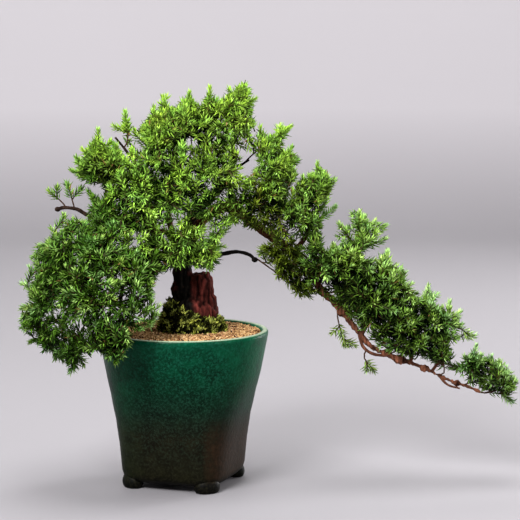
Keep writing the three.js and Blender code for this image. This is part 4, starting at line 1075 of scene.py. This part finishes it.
def foliage_material(region, old, mature, young):
    shader = Shader(f"foliage_{region}", 0.45, 0.06)
    # The guide's youth holds the daylight that is painted into it as light and shade.
    youth, shade, wood = shader.guide()[:3]
    height = shader.between_heights(0.06, 0.3)
    green = shader.tinted(
        shader.ramp(youth, (0.0, old), (0.45, mature), (1.0, young)),
        shader.ramp(shader.noise(60.0, 2.0), (0.32, (0.7, 0.85, 1.0)), (0.68, (1.15, 1.08, 0.85))),
        shader.ramp(shade, (0.0, 0.3), (0.4, 0.8), (0.75, 1.25), (1.0, 1.5)),
        # Painted light and shade: faces that face down are darker, and those that face sideways and up are
        # paler.
        shader.facing_up((0.25, 0.7), (0.6, 1.1), (0.95, 0.86)),
        # Painted shade: needles low down are darker and bluer, as in the shade under the canopy.
        shader.ramp(height, (0.0, (0.36, 0.42, 0.48)), (0.5, (0.74, 0.79, 0.82)), (1.0, 1.0)),
    )
    dry = shader.ramp(shade, (0.992, 0.0), (0.996, 1.0))
    green = shader.mix(dry, green, (0.17, 0.095, 0.03))
    bark = shader.ramp(shader.noise(900.0), (0.3, (0.014, 0.007, 0.004)), (0.7, (0.075, 0.034, 0.018)))
    return shader.colour(shader.mix(wood, green, bark))


def bark_material():
    shader = Shader("bark", 0.85, 0.04)
    tone = shader.node("ShaderNodeAttribute", {"attribute_name": "guide"}).outputs["Color"]
    grain = shader.noise(190.0, 6.0, 0.65, 0.22)
    flakes = shader.noise(520.0, 4.0, 0.6, 0.5)
    worn = shader.ramp(grain, (0.32, 0.35), (0.5, 0.9), (0.68, 2.2))
    edges = shader.ramp(flakes, (0.56, 0.0), (0.72, 1.0))
    pale = shader.mix(0.1, shader.tinted(tone, (2.6, 2.4, 2.4)), (0.3, 0.17, 0.11))
    shader.bump(shader.mix(0.45, grain, flakes), 0.0009, 0.9)
    return shader.colour(shader.mix(shader.math("MULTIPLY", edges, 0.35), shader.tinted(tone, worn), pale))


def glaze_material():
    """Green glaze that runs thin and brown towards the feet, with pale flecks that are partly its speckle
    and partly painted highlights, painted light towards its left and right sides, and a pale band along
    the top of the rim.
    """
    shader = Shader("glaze", 0.36, 0.05)
    height = shader.between_heights(0.0, POT_HEIGHT * MM)
    drift = shader.math("MULTIPLY", shader.math("SUBTRACT", shader.noise(30.0, 4.0, 0.6), 0.5), 0.22)
    level = shader.math("ADD", height, drift)
    body = shader.ramp(
        level,
        (0.0, (0.0007, 0.0006, 0.0004)),
        (0.065, (0.0012, 0.0011, 0.0006)),
        (0.1, (0.0038, 0.0037, 0.0012)),
        (0.36, (0.0045, 0.0042, 0.0017)),
        (0.52, (0.002, 0.0075, 0.0035)),
        (0.68, (0.0004, 0.014, 0.0055)),
        (0.84, (0.0001, 0.021, 0.0085)),
        (1.0, (0.0002, 0.029, 0.0125)),
    )
    # Painted light: the glaze is paler towards the pot's left and right sides, standing in for the light
    # and reflections that fall there.
    right = shader.side_of((1.0, 0.0, 0.0), 0.03, 0.072)
    left = shader.side_of((-1.0, 0.0, 0.0), 0.03, 0.072)
    body = shader.mix(shader.math("ADD", right, left), body, (1.5, 2.6, 2.5), "MULTIPLY")
    clouds = shader.ramp(shader.noise(95.0, 4.0, 0.6), (0.34, 0.66), (0.5, 1.0), (0.68, 1.5))
    # The pale flecks are partly the glaze's speckle and partly painted highlights of its orange-peel
    # surface.
    flecks = shader.ramp(shader.noise(480.0, 2.0, 0.7), (0.45, 0.0), (0.68, 1.0))
    fleck_colour = shader.ramp(
        height,
        (0.1, (0.013, 0.012, 0.006)),
        (0.45, (0.013, 0.028, 0.017)),
        (0.8, (0.006, 0.08, 0.045)),
    )
    body = shader.mix(shader.math("MULTIPLY", flecks, 0.55), shader.tinted(body, clouds), fleck_colour)
    rust_band = shader.ramp(height, (0.06, 0.0), (0.1, 1.0), (0.3, 1.0), (0.5, 0.0))
    rust_side = shader.side_of((0.93, -0.36, 0.0), 0.036, 0.046)
    rust = shader.ramp(shader.noise(260.0), (0.35, (0.010, 0.006, 0.0025)), (0.7, (0.022, 0.011, 0.005)))
    body = shader.mix(shader.math("MULTIPLY", rust_side, rust_band), body, rust)
    # A pale band along the top of the rim.
    rim = shader.between_heights((POT_HEIGHT - 0.9) * MM, (POT_HEIGHT - 0.1) * MM)
    body = shader.mix(shader.math("MULTIPLY", rim, 0.85), body, (0.3, 0.36, 0.25))
    shader.bump(shader.noise(330.0, 4.0), 0.0006, 0.6)
    shader.put(shader.surface.inputs["Roughness"], shader.ramp(level, (0.0, 0.55), (1.0, 0.32)))
    return shader.colour(body)


def soil_material():
    shader = Shader("soil", 0.9, 0.1)
    grain = shader.ramp(
        shader.guide()[1],
        (0.0, (0.02, 0.010, 0.005)),
        (0.09, (0.10, 0.035, 0.014)),
        (0.18, (0.27, 0.14, 0.055)),
        (0.5, (0.42, 0.26, 0.11)),
        (0.8, (0.55, 0.36, 0.17)),
        (0.94, (0.68, 0.48, 0.27)),
        (1.0, (0.36, 0.13, 0.06)),
    )
    dust = shader.ramp(shader.noise(1600.0), (0.3, 0.7), (0.7, 1.1))
    damp = shader.ramp(shader.noise(130.0), (0.36, (0.55, 0.47, 0.42)), (0.56, (1.03, 1.0, 0.98)))
    shader.bump(shader.noise(1500.0), 0.0003, 0.6)
    return shader.colour(shader.tinted(grain, dust, damp))


def moss_material():
    shader = Shader("moss", 0.85, 0.03)
    youth, shade = shader.guide()[:2]
    greens = (
        (0.0, (0.003, 0.003, 0.001)),
        (0.4, (0.018, 0.020, 0.004)),
        (0.7, (0.095, 0.11, 0.016)),
        (1.0, (0.42, 0.44, 0.11)),
    )
    tone = shader.ramp(shade, (0.0, (0.4, 0.43, 0.5)), (0.6, (0.9, 0.95, 0.8)), (1.0, (1.5, 1.45, 0.95)))
    return shader.colour(shader.tinted(shader.ramp(youth, *greens), tone))


def mesh_material():
    shader = Shader("drain_mesh", 0.6)
    shader.bump(shader.noise(1200.0), 0.0002, 0.5)
    greys = ((0.3, (0.012, 0.014, 0.014)), (0.7, (0.03, 0.033, 0.034)))
    return shader.colour(shader.ramp(shader.noise(300.0), *greys))


def floor_material():
    shader = Shader("floor", 0.6, 0.3)
    greys = ((0.0, (0.2, 0.191, 0.203)), (0.45, (0.36, 0.342, 0.362)), (1.0, (0.38, 0.361, 0.382)))
    return shader.colour(shader.ramp(shader.between_heights(0.0, 0.6), *greys))


# Wood


def ball(middle, half, rings=9, sides=16):
    tilts = (np.arange(rings) + 0.5) / rings * math.pi - math.pi / 2
    circles = [ring(math.cos(tilt), around(sides), math.sin(tilt)) for tilt in tilts]
    return loft([np.array(middle) + circle * np.array(half) for circle in circles])


def trunk_base():
    """The root end in the soil and the flare above it, with ribs that run down into the roots."""
    angles = around(BASE_SIDES)
    rings = []
    for height, radius in BASE_LEVELS:
        ribs = 1 - 0.09 * (1 + np.cos(angles * BASE_RIBS + 0.7)) / 2 * (height > BASE_TOP - 6)
        rings.append(ring(radius * ribs, angles, height) + (TRUNK_X, 0, 0))
    return loft(rings)


def limb_tube(path, radii, seed):
    path = even(path, LIMB_STEP if radii[0] < 4 else THICK_STEP)
    swell = 1 + rough(path, 6.0, 0.25, seed)
    sides = 20 if radii[0] > 7 else 12 if radii[0] > 4 else 8
    taper = np.linspace(0, 1, len(path)) ** 0.8
    return tube(path, (radii[0] + (radii[1] - radii[0]) * taper) * swell, sides)


def outside_of(surface):
    """One skin round overlapping solids: points, normals and triangles."""
    solids = surface.piece("overlapping_solids", None)
    remesh = solids.modifiers.new("skin", "REMESH")
    remesh.mode = "VOXEL"
    remesh.voxel_size = BARK_VOXEL * MM
    smooth = solids.modifiers.new("smooth", "SMOOTH")
    smooth.iterations = 2
    solids.modifiers.new("triangles", "TRIANGULATE")
    skin = solids.evaluated_get(bpy.context.evaluated_depsgraph_get())
    mesh = skin.to_mesh()
    points = np.empty((len(mesh.vertices), 3))
    normals = np.empty((len(mesh.vertices), 3))
    triangles = np.empty((len(mesh.polygons), 3), dtype=np.int32)
    mesh.vertices.foreach_get("co", points.ravel())
    mesh.vertices.foreach_get("normal", normals.ravel())
    mesh.loops.foreach_get("vertex_index", triangles.ravel())
    skin.to_mesh_clear()
    bpy.data.objects.remove(solids)
    return points / MM - POT_AXIS, normals, triangles


def bark_tones(points):
    """The bark colour of the limb that each point is nearest to, with uneven borders."""
    tree = KDTree(sum(len(path) for path in LIMB_PATHS.values()))
    owners = []
    for name, path in LIMB_PATHS.items():
        for place in path:
            tree.insert(Vector(place), len(owners))
            owners.append(name)
    tree.balance()
    shifts = rough(points, 5.0, 1.0, 31)
    nearest = [tree.find(Vector((x + 3.0 * shift, y, z)))[1] for (x, y, z), shift in zip(points, shifts)]
    tones = np.array([BARK_OF.get(owners[index], BROWN_BARK) for index in nearest])
    middle, reach = RED_PATCH
    seen = np.linalg.norm(from_front(points) - middle, axis=1) + 1.5 * shifts
    tones[(seen < reach) & (points[:, 1] < 0)] = RED_BARK
    return tones


def softened(values, triangles, passes):
    """Values of the points of a mesh, evened out over their neighbours."""
    pairs = np.concatenate([triangles[:, [0, 1]], triangles[:, [1, 2]], triangles[:, [2, 0]]])
    for _ in range(passes):
        total = values.copy()
        count = np.ones((len(values), 1))
        np.add.at(total, pairs[:, 0], values[pairs[:, 1]])
        np.add.at(count, pairs[:, 0], 1)
        values = total / count
    return values


def wood_piece(material):
    """Twigs as tubes, and one skin with ridged bark round the trunk and the thick limbs."""
    thick = Surface()
    thin = Surface()
    for seed, (name, (radii, _)) in enumerate(LIMBS.items()):
        target = thick if radii[0] > THICKEST_TWIG else thin
        target.add(*limb_tube(LIMB_PATHS[name], radii, seed), (*BARK_OF.get(name, BROWN_BARK), 1))
    for limb, x, z, radius in KNOTS:
        path = LIMB_PATHS[limb]
        place = path[np.linalg.norm(from_front(path) - (x, z), axis=1).argmin()]
        target = thick if LIMBS[limb][0][0] > THICKEST_TWIG else thin
        knot = ball(place, (radius * 1.2, radius, radius), 7, 10)
        target.add(*knot, (*BARK_OF.get(limb, BROWN_BARK), 1))
    for middle, half in TRUNK_SWELLS:
        thick.add(*ball(middle, half))
    thick.add(*trunk_base())
    points, normals, triangles = outside_of(thick)
    low = share(RIDGES_TOP, RIDGES_TOP - 12, points[:, 2])
    ridges = rough(points, RIDGE_SPACING, RIDGE_HEIGHT, 3)
    lumps = rough(points, LUMP_SPACING, LUMP_HEIGHT, 4)
    heights = ridges * low + lumps * (1 - 0.5 * low)
    points = points + normals * heights[:, None]
    tones = softened(bark_tones(points), triangles, 3)
    # Painted shade and light: the bark is darker in the furrows between its ridges and paler on their
    # crests.
    tones = tones * np.maximum(0.15, 1 + 1.1 * heights[:, None] * low[:, None])
    guide = np.column_stack([np.clip(tones, 0, 1), np.ones(len(points))])
    thin.add(points, triangles, guide)
    return thin.piece("trunk_and_limbs", material, smooth=True)


# Pot


def pot_ring(height, half, power, sides=POT_SIDES):
    angles = around(sides)
    radius = half / (np.abs(np.cos(angles)) ** power + np.abs(np.sin(angles)) ** power) ** (1 / power)
    return ring(radius, angles + POT_TURN, height)


def pot_at(height):
    """Half width and roundness of the pot's outside at a height."""
    heights, halves, powers = zip(*POT_LEVELS)
    return float(np.interp(height, heights, halves)), float(np.interp(height, heights, powers))


def wall_ring(height, inset=0.0, sides=POT_SIDES):
    """A ring on the pot's outside, or so far in from it."""
    half, power = pot_at(height)
    return pot_ring(height, half - inset, power, sides)


def foot(turn):
    rings = []
    for height, size in FOOT_LEVELS:
        radial = FOOT_FROM_AXIS + size * FOOT_HALF[0] * np.cos(around(FOOT_SIDES))
        tangential = size * FOOT_HALF[1] * np.sin(around(FOOT_SIDES))
        rings.append(np.stack([
            radial * math.cos(turn) - tangential * math.sin(turn),
            radial * math.sin(turn) + tangential * math.cos(turn),
            np.full(FOOT_SIDES, float(height)),
        ], axis=1))
    return loft(rings)


def pot_piece(material):
    """The wall from the drain hole up the outside, over the rim and down the inside, and the feet."""
    surface = Surface()
    surface.add(*loft([
        pot_ring(UNDERSIDE, DRAIN_RADIUS, 2),
        pot_ring(UNDERSIDE, 30, 3),
        *(wall_ring(height) for height in OUTER_HEIGHTS),
        *(pot_ring(height, RIM_RADIUS - inset, 2) for height, inset in RIM_ROLL),
        *(wall_ring(height, WALL) for height in INNER_HEIGHTS),
        pot_ring(FLOOR_TOP, DRAIN_RADIUS, 2),
    ], closed=True))
    for index in range(4):
        surface.add(*foot(POT_TURN + math.pi / 4 + index * math.pi / 2))
    return surface.piece("glazed_pot", material, smooth=True)


# Soil and moss


def add_grains(surface, centres, radii, shades, draw):
    """Grains as octahedra with each corner drawn a little in or out."""
    count = len(centres)
    sizes = radii[:, None, None] * draw.uniform(0.75, 1.2, (count, 6, 1))
    turns = unit(draw.normal(0, 1, (count, 3)))
    side = unit(np.cross(turns, np.array([0.2, 0.3, 0.93])))
    frames = np.stack([side, np.cross(turns, side), turns], axis=1)
    points = (centres[:, None] + (GRAIN_CORNERS @ frames) * sizes).reshape(-1, 3)
    triangles = (6 * np.arange(count)[:, None, None] + GRAIN_FACES).reshape(-1, 3)
    surface.add(points, triangles, colour_guide(0, np.repeat(shades, 6), 0))


def soil_level(place):
    """Height of the soil: level under the moss and a little lower at the pot's wall."""
    x, y = place[:, 0], place[:, 1]
    out = np.hypot((x - MOSS_CENTRE[0]) / MOSS_HALF[0], (y - MOSS_CENTRE[1]) / MOSS_HALF[1])
    return SOIL_FLAT + (SOIL_EDGE - SOIL_FLAT) * share(*SOIL_SLOPE, np.hypot(x, y)) ** 1.6 * (out > 0.5)


def soil_piece(material):
    """A body with an uneven top, and loose grains on it."""
    draw = np.random.default_rng(SOIL_SEED)
    surface = Surface()
    inset = WALL + GAP
    edge, _ = pot_at(SOIL_EDGE)
    levels = (FLOOR_TOP + GAP, 60, 100, SOIL_EDGE - 1.5)
    rings = [wall_ring(height, inset, SOIL_SIDES) for height in levels]
    for radius in np.linspace(edge - inset, 6, SOIL_RINGS):
        place = ring(radius, around(SOIL_SIDES) + POT_TURN, 0)
        place[:, 2] = soil_level(place) - 0.6 + draw.uniform(-0.5, 0.5, SOIL_SIDES)
        rings.append(place)
    surface.add(*loft(rings), (0, 0.3, 0, 1))
    radius = (edge - WALL - 1.6) * np.sqrt(draw.uniform(0.06, 1, GRAINS))
    place = ring(radius, draw.uniform(0, 2 * math.pi, GRAINS), 0)
    sizes = draw.uniform(*GRAIN_RADII, GRAINS)
    place[:, 2] = soil_level(place) + draw.uniform(-0.6, 0.5, GRAINS)
    add_grains(surface, place, sizes, draw.uniform(0, 1, GRAINS), draw)
    return surface.piece("soil_grains", material)


def on_moss(angles, part):
    """Places on the mound at a part of the way from the foot of the trunk to its rim.

    The mound is lower at its right end.
    """
    out = ring(1.0, angles, 0)[:, :2]
    inner = np.array([TRUNK_X, 0.0]) + (BASE_RADIUS + 0.6) * out
    place = inner + (MOSS_CENTRE + MOSS_HALF * out - inner) * part[:, None]
    height = MOSS_HEIGHT - MOSS_FALL * np.clip((place[:, 0] - 4) / 24, -0.7, 1)
    return np.column_stack([place, SOIL_FLAT + height * (1 - np.minimum(part, 1) ** 2.0) ** 0.85])


def moss_piece(material):
    """A mound with leafy tufts on it."""
    draw = np.random.default_rng(MOSS_SEED)
    surface = Surface()
    level = SOIL_FLAT + GAP
    rings = []
    for part in (0.0, MOSS_RIM):
        rings.append(on_moss(around(MOSS_SIDES), np.full(MOSS_SIDES, part)))
        rings[-1][:, 2] = level
    for part in np.linspace(MOSS_RIM, 0.0, 9):
        place = on_moss(around(MOSS_SIDES), np.full(MOSS_SIDES, part))
        heights = place[:, 2] - 1.0 + draw.uniform(-0.8, 0.8, MOSS_SIDES)
        place[:, 2] = np.maximum(heights, level + 0.2 * (1 - part))
        rings.append(place)
    surface.add(*loft(rings, closed=True), (0, 0.2, 0, 1))
    angles = draw.uniform(0, 2 * math.pi, TUFTS)
    part = 1.1 * draw.uniform(0, 1, TUFTS) ** 0.6
    foot = on_moss(angles, part) - (0, 0, 1.2)
    foot[:, 2] += rough(foot, 5.5, 3.2, 9) * (part < 0.95)
    upright = unit(ring(0.3 + 0.8 * part ** 2, angles, 0.75))
    youth = 0.3 + 1.5 * rough(foot, 3.6, 1.0, 5) + draw.normal(0, 0.16, TUFTS)
    youth = np.clip(youth, 0.0, 0.95)
    size = draw.uniform(*LEAF_LENGTHS, TUFTS) * (0.7 + 0.5 * youth) * np.where(part > 1, 0.6, 1.0)
    for _ in range(TUFT_LEAVES):
        direction = unit(upright + draw.normal(0, LEAF_SPREAD, (TUFTS, 3)))
        apex = foot + direction * (size * draw.uniform(0.6, 1.0, TUFTS))[:, None]
        leaf = youth + draw.normal(0, 0.14, TUFTS)
        radius = draw.uniform(*LEAF_RADII, TUFTS)
        awls(surface, foot, apex, radius, (0.3 * leaf, leaf, leaf + 0.14), draw.uniform(0, 1, TUFTS))
    return surface.piece("moss_mound", material)


# Stage


def cyclorama(material):
    """A pale floor that curves up into a wall all round, far behind the camera."""
    profile = [(0.02, 0.0), (0.6, 0.0), (1.5, 0.0)]
    for angle in np.arange(BEND_STEPS + 1) / BEND_STEPS * math.pi / 2:
        reach = STAGE_RADIUS - STAGE_BEND + STAGE_BEND * math.sin(angle)
        profile.append((reach, STAGE_BEND - STAGE_BEND * math.cos(angle)))
    profile.append((STAGE_RADIUS, STAGE_TOP))
    points = np.concatenate([ring(reach, around(STAGE_SIDES), height) for reach, height in profile])
    faces = [tuple(range(STAGE_SIDES))]
    for low in range(0, len(points) - STAGE_SIDES, STAGE_SIDES):
        high = low + STAGE_SIDES
        for i in range(STAGE_SIDES):
            j = (i + 1) % STAGE_SIDES
            faces.append((low + i, high + i, high + j, low + j))
    mesh = bpy.data.meshes.new("floor")
    mesh.from_pydata(points, [], faces)
    mesh.polygons.foreach_set("use_smooth", [True] * len(mesh.polygons))
    mesh.materials.append(material)
    linked("floor", mesh)


def lighting():
    world = bpy.data.worlds.new("studio")
    world.use_nodes = True
    background = world.node_tree.nodes["Background"]
    background.inputs["Color"].default_value = WORLD_COLOUR
    background.inputs["Strength"].default_value = WORLD_STRENGTH
    bpy.context.scene.world = world
    for name, (place, target, size, power) in LAMPS.items():
        light = bpy.data.lights.new(name, "AREA")
        light.shape = "RECTANGLE"
        light.size, light.size_y = size
        light.energy = power
        lamp = linked(name, light)
        lamp.location = place
        lamp.rotation_euler = (Vector(target) - Vector(place)).to_track_quat("-Z", "Y").to_euler()


def camera():
    data = bpy.data.cameras.new("camera")
    data.lens = LENS
    data.sensor_width = SENSOR
    view = linked("camera", data)
    view.location = placed([EYE])[0]
    view.rotation_euler = (math.pi / 2 - EYE_PITCH, 0, 0)
    bpy.context.scene.camera = view


# Assembly

LIMB_PATHS = {
    name: smooth_path([seen_from_front(point) for point in points], LIMB_STEP)
    for name, (_, points) in LIMBS.items()
}
camera()
lighting()
cyclorama(floor_material())
bpy.context.scene.view_settings.view_transform = "Standard"

foliage({region: foliage_material(region, *colours) for region, colours in FOLIAGE_COLOURS.items()})
for piece, node, slot in (
    (wood_piece(bark_material()), "wood", "bark"),
    (pot_piece(glaze_material()), "pot", "glaze"),
    (soil_piece(soil_material()), "soil", "soil"),
    (moss_piece(moss_material()), "moss", "moss"),
):
    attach(piece, "root")
    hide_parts(node)

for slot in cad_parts["drain_mesh"].material_slots:
    slot.material = mesh_material()
